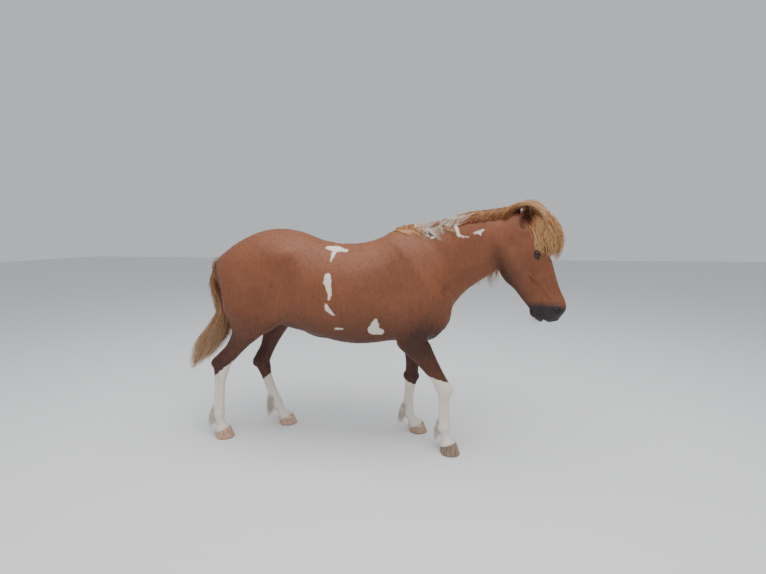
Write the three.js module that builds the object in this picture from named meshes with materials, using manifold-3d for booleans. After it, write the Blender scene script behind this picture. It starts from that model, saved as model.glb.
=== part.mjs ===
// A life-size Icelandic horse, standing in mid-walk with its head slightly turned.
// Millimetres, +Z up. The horse faces +X and its left side is +Y.
// The origin lies on the ground, under the middle of the body.
//
// The flesh is one smooth field: a trunk, a neck, a head and four legs, each a strip of
// stations seen from the side, with the main muscles blended over them. The field is
// turned into a surface one region at a time, and thin cuts part the named pieces.

import * as THREE from "three";
import { mergeVertices } from "three/addons/utils/BufferGeometryUtils.js";
import Module from "manifold-3d";

const wasm = await Module();
wasm.setup();

// Width of the thin cuts between pieces
const SEAM = 0.3;
// The tables below are measured from a level this far under the floor
const FLOOR = 20;

// Small helpers for points
const add = (a, b) => [a[0] + b[0], a[1] + b[1], a[2] + b[2]];
const sub = (a, b) => [a[0] - b[0], a[1] - b[1], a[2] - b[2]];
const times = (a, k) => [a[0] * k, a[1] * k, a[2] * k];
const dot = (a, b) => a[0] * b[0] + a[1] * b[1] + a[2] * b[2];
const cross = (a, b) => [
  a[1] * b[2] - a[2] * b[1],
  a[2] * b[0] - a[0] * b[2],
  a[0] * b[1] - a[1] * b[0],
];
const unit = (a) => times(a, 1 / Math.hypot(...a));
const mix = (a, b, t) => a + (b - a) * t;
const radians = (degrees) => (degrees * Math.PI) / 180;

// A frame is an origin and three unit axes, and moves points in and out of it.
function frameAt(origin, yaw, pitch) {
  const [cy, sy] = [Math.cos(radians(yaw)), Math.sin(radians(yaw))];
  const [cp, sp] = [Math.cos(radians(pitch)), Math.sin(radians(pitch))];
  const along = [cy * cp, sy * cp, -sp];
  const up = [cy * sp, sy * sp, cp];
  return { origin, axes: [along, cross(up, along), up] };
}
const toLocal = (f, p) => {
  const d = sub(p, f.origin);
  return f.axes.map((axis) => dot(d, axis));
};
const toWorld = (f, q) =>
  add(f.origin, add(times(f.axes[0], q[0]), add(times(f.axes[1], q[1]), times(f.axes[2], q[2]))));

// A smooth curve through the rows of a station table, with extra rows between them
function resample(rows, between) {
  const fine = [];
  for (let i = 0; i + 1 < rows.length; i++) {
    const [p0, p1, p2, p3] = [i - 1, i, i + 1, i + 2].map(
      (k) => rows[Math.min(Math.max(k, 0), rows.length - 1)],
    );
    for (let j = 0; j < between; j++) {
      const t = j / between;
      fine.push(
        p1.map((v, k) => {
          const a = 2 * p1[k];
          const b = p2[k] - p0[k];
          const c = 2 * p0[k] - 5 * p1[k] + 4 * p2[k] - p3[k];
          const d = 3 * p1[k] - p0[k] - 3 * p2[k] + p3[k];
          return 0.5 * (a + b * t + c * t * t + d * t * t * t);
        }),
      );
    }
  }
  fine.push(rows[rows.length - 1]);
  return fine;
}

// Distance to a closed oval whose two halves differ: across is its half width,
// front and back its reach each way, and power 2 is a true ellipse
function ovalDistance(side, along, across, front, back, power) {
  const reach = along > 0 ? front : back;
  const q = Math.pow(
    Math.pow(Math.abs(side) / across, power) + Math.pow(Math.abs(along) / reach, power),
    1 / power,
  );
  if (q < 1e-6) return -Math.min(across, reach);
  const rho = Math.hypot(side, along);
  return Math.max(rho - rho / q, -Math.min(across, reach));
}

// A strip is a body that is described from the side. Each row is
// [front x, front z, back x, back z, centre y, half width, widest place from back 0 to front 1, power]
const STRIP_STEPS = 4;
function strip(rows) {
  const s = resample(rows, STRIP_STEPS).map((r) => {
    const dx = r[0] - r[2];
    const dz = r[1] - r[3];
    const length = Math.hypot(dx, dz);
    return { bx: r[2], bz: r[3], ux: dx / length, uz: dz / length, length, y: r[4], half: r[5], wide: r[6], power: r[7] };
  });
  const turn = Math.sign(
    s[0].ux * (s[1].bz + s[1].uz * s[1].length * 0.5 - s[0].bz - s[0].uz * s[0].length * 0.5) -
      s[0].uz * (s[1].bx + s[1].ux * s[1].length * 0.5 - s[0].bx - s[0].ux * s[0].length * 0.5),
  );
  const past = (q, x, z) => turn * (q.ux * (z - q.bz) - q.uz * (x - q.bx));
  const at = (a, b, t, x, y, z, beyond) => {
    const ux = mix(a.ux, b.ux, t);
    const uz = mix(a.uz, b.uz, t);
    const along = (x - mix(a.bx, b.bx, t)) * ux + (z - mix(a.bz, b.bz, t)) * uz;
    const length = mix(a.length, b.length, t);
    const middle = length * mix(a.wide, b.wide, t);
    const d = ovalDistance(
      y - mix(a.y, b.y, t), along - middle, mix(a.half, b.half, t),
      length - middle, middle, mix(a.power, b.power, t),
    );
    if (!beyond) return d;
    return d > 0 ? Math.hypot(d, beyond) : Math.max(d, -20) + beyond;
  };
  return (x, y, z) => {
    let best = 1e9;
    let before = past(s[0], x, z);
    if (before < 0) best = at(s[0], s[0], 0, x, y, z, -before);
    for (let i = 0; i + 1 < s.length; i++) {
      const after = past(s[i + 1], x, z);
      if (before >= 0 && after <= 0 && before > after) {
        best = Math.min(best, at(s[i], s[i + 1], before / (before - after), x, y, z, 0));
      }
      before = after;
    }
    const last = s[s.length - 1];
    if (before > 0) best = Math.min(best, at(last, last, 0, x, y, z, before));
    return best;
  };
}

// A muscle is a spindle from one end to the other, with its thickness in the side view and across
function spindle(from, to, deep, wide) {
  const centre = times(add(from, to), 0.5);
  const half = Math.hypot(...sub(to, from)) / 2;
  const along = unit(sub(to, from));
  const out = unit(cross(cross(along, [0, 1, 0]), along));
  const flat = cross(along, out);
  const r = [half, wide, deep];
  return (x, y, z) => {
    const d = [x - centre[0], y - centre[1], z - centre[2]];
    const q = [dot(d, along), dot(d, out), dot(d, flat)];
    const k0 = Math.hypot(q[0] / r[0], q[1] / r[1], q[2] / r[2]);
    const k1 = Math.hypot(q[0] / r[0] ** 2, q[1] / r[1] ** 2, q[2] / r[2] ** 2);
    return k1 < 1e-9 ? -Math.min(...r) : (k0 * (k0 - 1)) / k1;
  };
}

// Joining and hollowing with a soft edge
const softMin = (a, b, k) => {
  const h = Math.max(k - Math.abs(a - b), 0) / k;
  return Math.min(a, b) - (h * h * k) / 4;
};
const softMax = (a, b, k) => -softMin(-a, -b, k);

// Trunk: x, top, bottom, half width, height of the widest place, power
const TRUNK = [
  [-800, 1225, 1075, 60, 1150, 2.0],
  [-745, 1262, 985, 135, 1130, 2.0],
  [-660, 1318, 905, 190, 1110, 2.1],
  [-560, 1368, 850, 225, 1095, 2.15],
  [-450, 1402, 800, 238, 1075, 2.15],
  [-340, 1408, 768, 240, 1050, 2.15],
  [-220, 1386, 742, 248, 1010, 2.15],
  [-100, 1340, 712, 265, 965, 2.15],
  [20, 1318, 684, 277, 945, 2.15],
  [140, 1316, 672, 278, 945, 2.15],
  [250, 1338, 680, 262, 955, 2.15],
  [350, 1376, 694, 236, 975, 2.1],
  [450, 1388, 698, 212, 985, 2.1],
  [550, 1350, 696, 196, 985, 2.1],
  [630, 1240, 716, 168, 970, 2.1],
  [685, 1100, 775, 118, 940, 2.0],
];

// Neck: crest x, crest z, underside x, underside z, centre y, half width, widest place, power
const NECK = [
  [360, 1376, 660, 800, 0, 150, 0.42, 2.0],
  [480, 1386, 728, 900, -8, 132, 0.4, 2.0],
  [600, 1398, 778, 978, -26, 104, 0.38, 2.0],
  [720, 1424, 832, 1040, -56, 84, 0.38, 2.0],
  [840, 1456, 890, 1090, -98, 75, 0.4, 2.0],
  [960, 1470, 945, 1135, -142, 72, 0.42, 2.0],
  [1060, 1478, 1000, 1180, -180, 70, 0.45, 2.0],
];

// Head, in its own frame: x runs from the poll to the lips, z towards the forehead
const HEAD_YAW = -16;
const HEAD_PITCH = 72.2;
const POLL = [1101, -190, 1480];
const HEAD_LENGTH = 615;
const headFrame = frameAt(POLL, HEAD_YAW, HEAD_PITCH);
const SKULL = [
  [-5, 20, 20, -95, 0, 55, 0.5, 2.2],
  [40, 52, 50, -125, 0, 68, 0.55, 2.3],
  [105, 74, 105, -120, 0, 82, 0.62, 2.4],
  [180, 84, 180, -110, 0, 88, 0.68, 2.5],
  [240, 88, 240, -100, 0, 86, 0.68, 2.5],
  [310, 92, 310, -80, 0, 70, 0.62, 2.4],
  [390, 90, 390, -62, 0, 55, 0.55, 2.3],
  [460, 92, 460, -52, 0, 47, 0.5, 2.2],
  [522, 100, 517, -50, 0, 47, 0.5, 2.2],
  [570, 92, 565, -50, 0, 47, 0.5, 2.2],
  [603, 56, 597, -38, 0, 38, 0.5, 2.0],
];
const JAW = [
  [150, -20, 120, -150, 0, 62, 0.5, 2.4],
  [215, -20, 200, -186, 0, 70, 0.5, 2.5],
  [280, -20, 275, -194, 0, 70, 0.52, 2.5],
  [340, -20, 335, -178, 0, 60, 0.55, 2.4],
  [400, -20, 395, -142, 0, 46, 0.5, 2.3],
  [460, -20, 460, -118, 0, 36, 0.5, 2.2],
  [520, -20, 520, -94, 0, 34, 0.5, 2.1],
  [555, -25, 555, -90, 0, 34, 0.5, 2.0],
  [590, -30, 586, -78, 0, 25, 0.5, 2.0],
];

// Legs, as joint places, x, y, z. The upper joint lies deep in the body. The foot's
// heading is in degrees from straight ahead, and the pastern runs down from the fetlock.
const FORE = {
  right: { shoulder: [600, -140, 930], elbow: [492, -148, 735], knee: [704, -138, 430], fetlock: [702, -112, 172], heading: -34, pastern: [30, -98] },
  left: { shoulder: [590, 140, 930], elbow: [476, 148, 730], knee: [478, 142, 412], fetlock: [452, 138, 164], heading: 0, pastern: [56, -92] },
};
const HIND = {
  right: { hip: [-520, -130, 1090], stifle: [-468, -165, 815], hock: [-752, -140, 526], fetlock: [-800, -124, 176], heading: -4, pastern: [26, -104] },
  left: { hip: [-480, 130, 1090], stifle: [-434, 165, 800], hock: [-598, 140, 470], fetlock: [-492, 132, 166], heading: 4, pastern: [62, -94] },
};

// Leg stations: which joint the row starts from, how far on it is towards the next (0 to 1),
// reach to the front, reach to the back, half width, power
const FORE_STATIONS = [
  ["shoulder", 0.55, 95, 105, 62, 2.0],
  ["elbow", 0.02, 92, 92, 60, 2.0],
  ["elbow", 0.22, 84, 70, 56, 2.0],
  ["elbow", 0.45, 68, 51, 48, 2.0],
  ["elbow", 0.7, 53, 41, 40, 2.1],
  ["elbow", 0.88, 46, 42, 38, 2.2],
  ["knee", 0.0, 46, 48, 39, 2.4],
  ["knee", 0.14, 40, 42, 33, 2.3],
  ["knee", 0.32, 32, 37, 25, 2.2],
  ["knee", 0.6, 31, 36, 23, 2.2],
  ["knee", 0.84, 36, 40, 28, 2.2],
  ["knee", 1.0, 40, 44, 34, 2.2],
];
const HIND_STATIONS = [
  ["hip", 0.15, 150, 175, 95, 2.0],
  ["hip", 0.6, 128, 175, 95, 2.0],
  ["stifle", -0.05, 92, 182, 84, 2.0],
  ["stifle", 0.18, 64, 140, 70, 2.0],
  ["stifle", 0.42, 50, 92, 54, 2.0],
  ["stifle", 0.68, 46, 60, 41, 2.1],
  ["stifle", 0.9, 50, 62, 38, 2.2],
  ["hock", 0.0, 58, 62, 40, 2.3],
  ["hock", 0.16, 48, 46, 35, 2.3],
  ["hock", 0.34, 35, 39, 26, 2.2],
  ["hock", 0.62, 33, 37, 24, 2.2],
  ["hock", 0.86, 37, 41, 29, 2.2],
  ["hock", 1.0, 40, 45, 35, 2.2],
];

function legStrip(joints, order, stations) {
  const rows = stations.map(([name, share, front, back, half, power]) => {
    const k = Math.min(order.indexOf(name), order.length - 2);
    const here = joints[order[k]];
    const next = joints[order[k + 1]];
    const place = add(here, times(sub(next, here), share));
    const line = (a, b) => {
      const l = Math.hypot(b[0] - a[0], b[2] - a[2]);
      return [(b[0] - a[0]) / l, (b[2] - a[2]) / l];
    };
    // The section turns smoothly from one bone to the next
    const own = line(here, next);
    const near = share < 0.5 ? (k > 0 ? line(joints[order[k - 1]], here) : own)
      : k + 2 < order.length ? line(next, joints[order[k + 2]]) : own;
    const weight = 0.5 * Math.pow(Math.abs(share - 0.5) * 2, 3);
    const dx = mix(own[0], near[0], weight);
    const dz = mix(own[1], near[1], weight);
    const l = Math.hypot(dx, dz);
    const [fx, fz] = [-dz / l, dx / l];
    return [
      place[0] + fx * front, place[2] + fz * front, place[0] - fx * back, place[2] - fz * back,
      place[1], half, back / (front + back), power,
    ];
  });
  return strip(rows);
}

// The foot, in a frame at the fetlock that is turned about the upright
const FOOT_STATIONS = [
  [-0.12, 36, 40, 33],
  [0.12, 37, 44, 34],
  [0.4, 29, 34, 28],
  [0.68, 32, 36, 31],
  [0.9, 45, 47, 44],
  [1.02, 52, 50, 50],
  [1.14, 54, 52, 52],
];
const CORONET_SLOPE = 20;
function footStrip(pastern) {
  const l = Math.hypot(...pastern);
  const [dx, dz] = [pastern[0] / l, pastern[1] / l];
  const rows = FOOT_STATIONS.map(([share, front, back, half]) => {
    const turn = Math.max(0, Math.min(share, 1));
    const nx = mix(-dz, Math.cos(radians(CORONET_SLOPE)), turn);
    const nz = mix(dx, Math.sin(radians(CORONET_SLOPE)), turn);
    const [cx, cz] = [pastern[0] * share, pastern[1] * share];
    return [cx + nx * front, cz + nz * front, cx - nx * back, cz - nz * back, 0, half, 0.5, 2.1];
  });
  return strip(rows);
}

// Every form of the flesh: its field, how softly it joins, and the box it matters in
const BLEND_REACH = 60;
const forms = [];
function form(field, soft, low, high, frame) {
  forms.push({ field, soft, low, high, frame });
}
function hollow(field, soft, low, high, frame) {
  forms.push({ field, soft, low, high, frame, hollow: true });
}

form(
  strip(TRUNK.map(([x, top, bottom, half, wide, power]) => [x, top, x, bottom, 0, half, (wide - bottom) / (top - bottom), power])),
  40, [-900, -330, 600], [760, 330, 1460],
);
form(strip(NECK), 55, [300, -300, 740], [1120, 170, 1500]);

for (const [side, joints] of Object.entries(FORE)) {
  form(legStrip(joints, ["shoulder", "elbow", "knee", "fetlock"], FORE_STATIONS), 45,
    [joints.elbow[0] - 130, joints.knee[1] - 90, 100], [joints.knee[0] + 180, joints.knee[1] + 90, 1000]);
  joints.foot = frameAt(joints.fetlock, joints.heading, 0);
  form(footStrip(joints.pastern), 12, [-80, -70, -150], [130, 70, 50], joints.foot);
}
for (const [side, joints] of Object.entries(HIND)) {
  form(legStrip(joints, ["hip", "stifle", "hock", "fetlock"], HIND_STATIONS), 45,
    [joints.hock[0] - 160, joints.hock[1] - 110, 100], [joints.stifle[0] + 190, joints.hock[1] + 110, 1200]);
  joints.foot = frameAt(joints.fetlock, joints.heading, 0);
  form(footStrip(joints.pastern), 12, [-80, -70, -160], [130, 70, 50], joints.foot);
}

// Muscles of the two sides
for (const side of [-1, 1]) {
  const at = (x, y, z) => [x, side * y, z];
  const muscle = (from, to, deep, wide, soft = 40) => {
    const low = from.map((v, i) => Math.min(v, to[i]) - Math.max(deep, wide) - 20);
    const high = from.map((v, i) => Math.max(v, to[i]) + Math.max(deep, wide) + 20);
    form(spindle(from, to, deep, wide), soft, low, high);
  };
  // Gluteal, hamstring, thigh, shoulder blade, upper arm, breast
  muscle(at(-230, 112, 1215), at(-730, 112, 1085), 150, 98, 70);
  muscle(at(-560, 135, 1230), at(-640, 145, 790), 108, 82, 70);
  muscle(at(-330, 158, 1160), at(-430, 165, 780), 95, 66, 60);
  muscle(at(400, 96, 1330), at(640, 148, 930), 110, 62, 90);
  muscle(at(370, 150, 1000), at(570, 160, 760), 100, 66, 60);
  muscle(at(700, 75, 960), at(560, 85, 750), 85, 72, 45);
}

// The sheath, a low swelling under the belly
form(spindle([-215, 0, 752], [-55, 0, 716], 34, 40), 45, [-260, -60, 650], [-10, 60, 800]);

// Head forms, in the head's frame
const HEAD_LOW = [-60, -140, -240];
const HEAD_HIGH = [660, 140, 130];
form(strip(SKULL), 25, HEAD_LOW, HEAD_HIGH, headFrame);
form(strip(JAW), 25, HEAD_LOW, HEAD_HIGH, headFrame);

// Ears, as seen from the head's frame: where each one grows, which way its tip points and
// which way it opens
const EAR_LENGTH = 132;
const EARS = {
  right: { base: [88, -56, 12], tip: [-0.93, -0.22, 0.29], open: [0.1, -0.9, 0.42] },
  left: { base: [70, 56, 30], tip: [-0.38, 0.12, 0.92], open: [0.5, 0.75, 0.2] },
};
const EYE = [236, 72, 36];
const EYE_RADIUS = 20;
const CREST_FROM = [318, 64, -12];
const CREST_TO = [396, 47, 12];
for (const side of [-1, 1]) {
  const at = (p) => [p[0], side * p[1], p[2]];
  const ear = side < 0 ? EARS.right : EARS.left;
  form(spindle(sub(ear.base, times(ear.tip, 40)), add(ear.base, times(ear.tip, 16)), 30, 30), 24, HEAD_LOW, HEAD_HIGH, headFrame);
  // The brow and the facial crest stand out, and the eye lies in a shallow hollow
  form(spindle(at([196, 62, 60]), at([268, 62, 58]), 20, 24), 22, HEAD_LOW, HEAD_HIGH, headFrame);
  form(spindle(at(CREST_FROM), at(CREST_TO), 11, 12), 14, HEAD_LOW, HEAD_HIGH, headFrame);
  form(spindle(at([530, 34, 54]), at([590, 26, 40]), 30, 22), 18, HEAD_LOW, HEAD_HIGH, headFrame);
}

function flesh(p) {
  let value = 1e3;
  for (const f of forms) {
    const q = f.frame ? toLocal(f.frame, p) : p;
    const k = BLEND_REACH;
    if (
      q[0] < f.low[0] - k || q[0] > f.high[0] + k || q[1] < f.low[1] - k ||
      q[1] > f.high[1] + k || q[2] < f.low[2] - k || q[2] > f.high[2] + k
    ) continue;
    const d = f.field(q[0], q[1], q[2]);
    value = f.hollow ? softMax(value, -d, f.soft) : softMin(value, d, f.soft);
  }
  return value;
}

// Surface nets: the surface of a field inside a box of a frame, with its own cell sizes
function surfaceOf(field, frame, low, high, cell) {
  const n = [0, 1, 2].map((i) => Math.ceil((high[i] - low[i]) / cell[i]) + 1);
  const index = (i, j, k) => (k * n[1] + j) * n[0] + i;
  const values = new Float32Array(n[0] * n[1] * n[2]);
  const corner = (i, j, k) => [low[0] + i * cell[0], low[1] + j * cell[1], low[2] + k * cell[2]];
  const probe = (q) => field(toWorld(frame, q));
  for (let k = 0; k < n[2]; k++)
    for (let j = 0; j < n[1]; j++)
      for (let i = 0; i < n[0]; i++) {
        const edge = i === 0 || j === 0 || k === 0 || i === n[0] - 1 || j === n[1] - 1 || k === n[2] - 1;
        values[index(i, j, k)] = edge ? Math.max(probe(corner(i, j, k)), 1) : probe(corner(i, j, k));
      }
  const vertexOf = new Map();
  const points = [];
  for (let k = 0; k + 1 < n[2]; k++)
    for (let j = 0; j + 1 < n[1]; j++)
      for (let i = 0; i + 1 < n[0]; i++) {
        const sum = [0, 0, 0];
        let count = 0;
        for (let e = 0; e < 12; e++) {
          const axis = e >> 2;
          const [u, v] = [(axis + 1) % 3, (axis + 2) % 3];
          const a = [0, 0, 0];
          a[u] = e & 1;
          a[v] = (e >> 1) & 1;
          const b = [...a];
          b[axis] = 1;
          const va = values[index(i + a[0], j + a[1], k + a[2])];
          const vb = values[index(i + b[0], j + b[1], k + b[2])];
          if (va < 0 === vb < 0) continue;
          a[axis] = va / (va - vb);
          for (let m = 0; m < 3; m++) sum[m] += a[m];
          count++;
        }
        if (!count) continue;
        vertexOf.set(index(i, j, k), points.length);
        points.push([0, 1, 2].map((m) => low[m] + ([i, j, k][m] + sum[m] / count) * cell[m]));
      }
  const quads = [];
  for (let k = 0; k < n[2]; k++)
    for (let j = 0; j < n[1]; j++)
      for (let i = 0; i < n[0]; i++)
        for (let axis = 0; axis < 3; axis++) {
          const here = [i, j, k];
          const there = [...here];
          there[axis]++;
          if (there[axis] === n[axis]) continue;
          const inside = values[index(...here)] < 0;
          if (inside === values[index(...there)] < 0) continue;
          const [u, v] = [(axis + 1) % 3, (axis + 2) % 3];
          const ring = [[0, 0], [-1, 0], [-1, -1], [0, -1]].map(([du, dv]) => {
            const c = [...here];
            c[u] += du;
            c[v] += dv;
            return vertexOf.get(index(...c));
          });
          quads.push(inside ? ring : ring.reverse());
        }
  return { points: points.map((q) => toWorld(frame, q)), quads };
}

// Moves the points of a net onto the field, and evens out the net between. Points that close
// the net inside the body stay where they are.
const RELAX_ROUNDS = 3;
const HOLD_DISTANCE = 22;
function settle(net, field) {
  const neighbours = net.points.map(() => new Set());
  for (const q of net.quads)
    q.forEach((a, i) => {
      neighbours[a].add(q[(i + 1) % 4]);
      neighbours[a].add(q[(i + 3) % 4]);
    });
  const h = 1;
  const slope = (p) => [0, 1, 2].map((i) => {
    const [a, b] = [[...p], [...p]];
    a[i] += h;
    b[i] -= h;
    return (field(a) - field(b)) / (2 * h);
  });
  const onto = (p) => {
    for (let i = 0; i < 2; i++) {
      const g = slope(p);
      const g2 = Math.max(dot(g, g), 0.05);
      const step = Math.max(-8, Math.min(8, field(p)));
      p = sub(p, times(g, step / g2));
    }
    return p;
  };
  const held = net.points.map((p) => Math.abs(field(p)) > HOLD_DISTANCE);
  for (let round = 0; round < RELAX_ROUNDS; round++) {
    const moved = net.points.map((p, i) => {
      if (held[i]) return p;
      const around = [...neighbours[i]].map((k) => net.points[k]);
      const mean = times(around.reduce(add), 1 / around.length);
      return onto(add(times(p, 0.5), times(mean, 0.5)));
    });
    net.points = moved;
  }
  return net;
}

// Meshes in and out of solids
function geometryOf(points, faces) {
  const flat = [];
  for (const f of faces)
    for (let i = 1; i + 1 < f.length; i++) flat.push(f[0], f[i], f[i + 1]);
  const g = new THREE.BufferGeometry();
  g.setAttribute("position", new THREE.Float32BufferAttribute(points.flat(), 3));
  g.setIndex(flat);
  return g;
}
function solidOf(geometry) {
  const g = geometry.clone();
  g.deleteAttribute("normal");
  g.deleteAttribute("uv");
  const m = mergeVertices(g, 1e-3);
  return new wasm.Manifold(
    new wasm.Mesh({ numProp: 3, vertProperties: m.attributes.position.array, triVerts: new Uint32Array(m.index.array) }),
  );
}
function meshOf(solid, name, material) {
  const pieces = solid.decompose();
  const largest = pieces.reduce((a, b) => (b.volume() > a.volume() ? b : a));
  const m = largest.getMesh();
  const g = new THREE.BufferGeometry();
  g.setAttribute("position", new THREE.BufferAttribute(new Float32Array(m.vertProperties), 3));
  g.setIndex(new THREE.BufferAttribute(new Uint32Array(m.triVerts), 1));
  g.computeVertexNormals();
  const mesh = new THREE.Mesh(g, material);
  mesh.name = name;
  return mesh;
}

// A block that fills the space on the far side of a plane, and the corner that several share
const BLOCK = 4000;
function beyondPlane(point, normal) {
  const g = new THREE.BoxGeometry(BLOCK, BLOCK, BLOCK);
  const turn = new THREE.Quaternion().setFromUnitVectors(new THREE.Vector3(0, 0, 1), new THREE.Vector3(...unit(normal)));
  g.applyQuaternion(turn);
  g.translate(...add(point, times(unit(normal), BLOCK / 2)));
  return solidOf(g);
}
// Planes are [point, normal]. Each is moved along its normal first.
const corner = (planes, shift) =>
  planes.map(([p, n]) => beyondPlane(add(p, times(unit(n), shift)), n)).reduce((a, b) => a.intersect(b));

// A body through rings of points that have an even count, with both ends closed
function loft(rings) {
  const n = rings[0].length;
  const faces = [];
  for (let i = 0; i + 1 < rings.length; i++)
    for (let j = 0; j < n; j++) {
      const k = (j + 1) % n;
      faces.push([i * n + j, i * n + k, (i + 1) * n + k, (i + 1) * n + j]);
    }
  for (let j = 0; j + 1 < n / 2; j++) {
    const ladder = [j, j + 1, n - 2 - j, n - 1 - j];
    faces.push([...ladder].reverse());
    faces.push(ladder.map((v) => (rings.length - 1) * n + v));
  }
  const points = rings.flat();
  let volume = 0;
  for (const f of faces)
    for (let i = 1; i + 1 < f.length; i++) volume += dot(points[f[0]], cross(points[f[i]], points[f[i + 1]]));
  return solidOf(geometryOf(points, volume < 0 ? faces.map((f) => [...f].reverse()) : faces));
}

// A point moved onto the flesh, and the way out from there
const slopeOf = (field, p) => unit([0, 1, 2].map((i) => {
  const [a, b] = [[...p], [...p]];
  a[i] += 2;
  b[i] -= 2;
  return field(a) - field(b);
}));
function onFlesh(p) {
  for (let i = 0; i < 6; i++) p = sub(p, times(slopeOf(flesh, p), flesh(p) * 0.8));
  return p;
}

// Seeded chance for the hair
let seed = 11;
function chance() {
  seed = (seed * 16807) % 2147483647;
  return seed / 2147483647;
}
const vary = (value, share) => value * (1 + share * (2 * chance() - 1));
const between = (a, b) => mix(a, b, chance());

// A lock of hair is a flat, tapering body along a path, thin in the direction out of the skin
const LOCK_SHAPE = [0.8, 1, 1, 0.98, 0.88, 0.64, 0.14];
function lock(path, outs, width, thick) {
  const last = path.length - 1;
  return loft(path.map((p, i) => {
    const ahead = unit(sub(path[Math.min(i + 1, last)], path[Math.max(i - 1, 0)]));
    const across = unit(cross(ahead, outs[i]));
    const out = cross(across, ahead);
    const place = (i / last) * (LOCK_SHAPE.length - 1);
    const k = Math.min(Math.floor(place), LOCK_SHAPE.length - 2);
    const share = mix(LOCK_SHAPE[k], LOCK_SHAPE[k + 1], place - k);
    const w = (width * share) / 2;
    const h = (thick * (0.35 + 0.65 * share)) / 2;
    return [add(p, times(across, w)), add(p, times(out, h)), sub(p, times(across, w)), sub(p, times(out, h))];
  }));
}
// Lets a lock fall from its root along a lie that changes with the share of its length, and
// keeps it off the flesh
const LOCK_STEPS = 5;
const ROOT_DEPTH = 14;
function fall(root, lie, length, width, thick, lift, steps = LOCK_STEPS) {
  const out = slopeOf(flesh, root);
  const path = [sub(root, times(out, ROOT_DEPTH))];
  const outs = [unit(add(out, times(lie(0), -0.4)))];
  let p = add(root, times(out, lift * 0.5));
  let ahead = lie(0);
  for (let i = 0; i < steps; i++) {
    path.push(p);
    outs.push(slopeOf(flesh, p));
    const wish = unit(lie((i + 1) / steps));
    ahead = unit(add(times(ahead, 0.35), times(wish, 0.65)));
    let next = add(p, times(ahead, length / steps));
    for (let j = 0; j < 5; j++) {
      const short = lift - flesh(next);
      if (short > 0) next = add(next, times(slopeOf(flesh, next), short));
    }
    ahead = unit(sub(next, p));
    p = next;
  }
  return lock(path, outs, width, thick);
}
const material = (colour, roughness) => new THREE.MeshStandardMaterial({ color: colour, roughness, metalness: 0 });
const CHESTNUT = material(0x8a4f2c, 0.7);
const DARK = material(0x6b3a22, 0.75);
const HEAD_RED = material(0x7d452a, 0.7);
const FLAXEN = material(0xb98a5e, 0.8);
const WHITE = material(0xcfc5b8, 0.75);
const HORN = material(0x8c7c69, 0.5);
const EYE_DARK = material(0x17110d, 0.12);

const world = { origin: [0, 0, 0], axes: [[1, 0, 0], [0, 1, 0], [0, 0, 1]] };
const horse = new THREE.Group();
// Four faces on one edge mean that two sheets of the surface pinch there
function pinched(net) {
  const uses = new Map();
  for (const q of net.quads)
    q.forEach((a, i) => {
      const b = q[(i + 1) % 4];
      const key = Math.min(a, b) * net.points.length + Math.max(a, b);
      uses.set(key, (uses.get(key) ?? 0) + 1);
    });
  return [...uses.values()].some((n) => n !== 2);
}
const GRID_NUDGE = 3.7;
function region(low, high, cell, frame = world) {
  let net = surfaceOf(flesh, frame, low, high, cell);
  while (pinched(net)) {
    low = low.map((v) => v - GRID_NUDGE);
    net = surfaceOf(flesh, frame, low, high, cell);
  }
  settle(net, flesh);
  return solidOf(geometryOf(net.points, net.quads));
}
const headPoint = (q) => toWorld(headFrame, q);
const headWay = (q) => sub(toWorld(headFrame, q), headFrame.origin);

// Where the pieces part: planes as [point, normal], with the normal into the second piece
const NECK_CUT = [[[430, 0, 1390], [590, 0, 270]]];
const HEAD_CUT = [[POLL, headWay([0.69, 0, 0.72])]];
const foreCut = (side) => [
  [[330, 0, 700], [1, 0, 0]],
  [[500, 0, 668], [0, 0, -1]],
  [[0, side * 20, 0], [0, side, 0]],
];
const hindCut = (side) => [
  [[-270, 0, 700], [-1, 0, 0]],
  [[-300, 0, 738], [-0.148, 0, -0.989]],
  [[0, side * 34, 0], [0, side, 0]],
];
const reversed = (planes) => planes.map(([p, n]) => [p, times(n, -1)]);

// Torso
const dockRoot = [-797, 0, 1196];
let torso = region([-900, -360, 560], [840, 360, 1480], [68, 62, 66]);
torso = torso.subtract(corner(NECK_CUT, -SEAM / 2));
for (const side of [-1, 1]) {
  torso = torso.subtract(corner(foreCut(side), -SEAM / 2)).subtract(corner(hindCut(side), -SEAM / 2));
}

// A round bar through points with a radius at each
function bar(points, radii, sides) {
  const rings = points.map((p, i) => {
    const ahead = unit(sub(points[Math.min(i + 1, points.length - 1)], points[Math.max(i - 1, 0)]));
    const across = unit(cross(ahead, Math.abs(ahead[1]) < 0.8 ? [0, 1, 0] : [0, 0, 1]));
    const out = cross(across, ahead);
    return Array.from({ length: sides }, (_, j) => {
      const a = (2 * Math.PI * j) / sides;
      return add(p, add(times(across, radii[i] * Math.cos(a)), times(out, radii[i] * Math.sin(a))));
    });
  });
  return loft(rings);
}

// Tail: the dock sits in a shallow round seat, and its hair falls and blows back
const DOCK = [[-812, 0, 1192], [-836, 2, 1140], [-848, 4, 1070], [-852, 6, 985], [-848, 8, 905]];
const DOCK_RADII = [34, 33, 28, 22, 11];
const seatWay = unit(sub(DOCK[1], DOCK[0]));
torso = torso.subtract(bar([sub(DOCK[0], times(seatWay, SEAM)), add(DOCK[0], times(seatWay, 60))], [DOCK_RADII[0] + 1, DOCK_RADII[0] + 1], 12));
torso = torso.subtract(bar(DOCK, DOCK_RADII.map((r) => r + 16), 8));
let tail = bar(DOCK, DOCK_RADII, 8);
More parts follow.
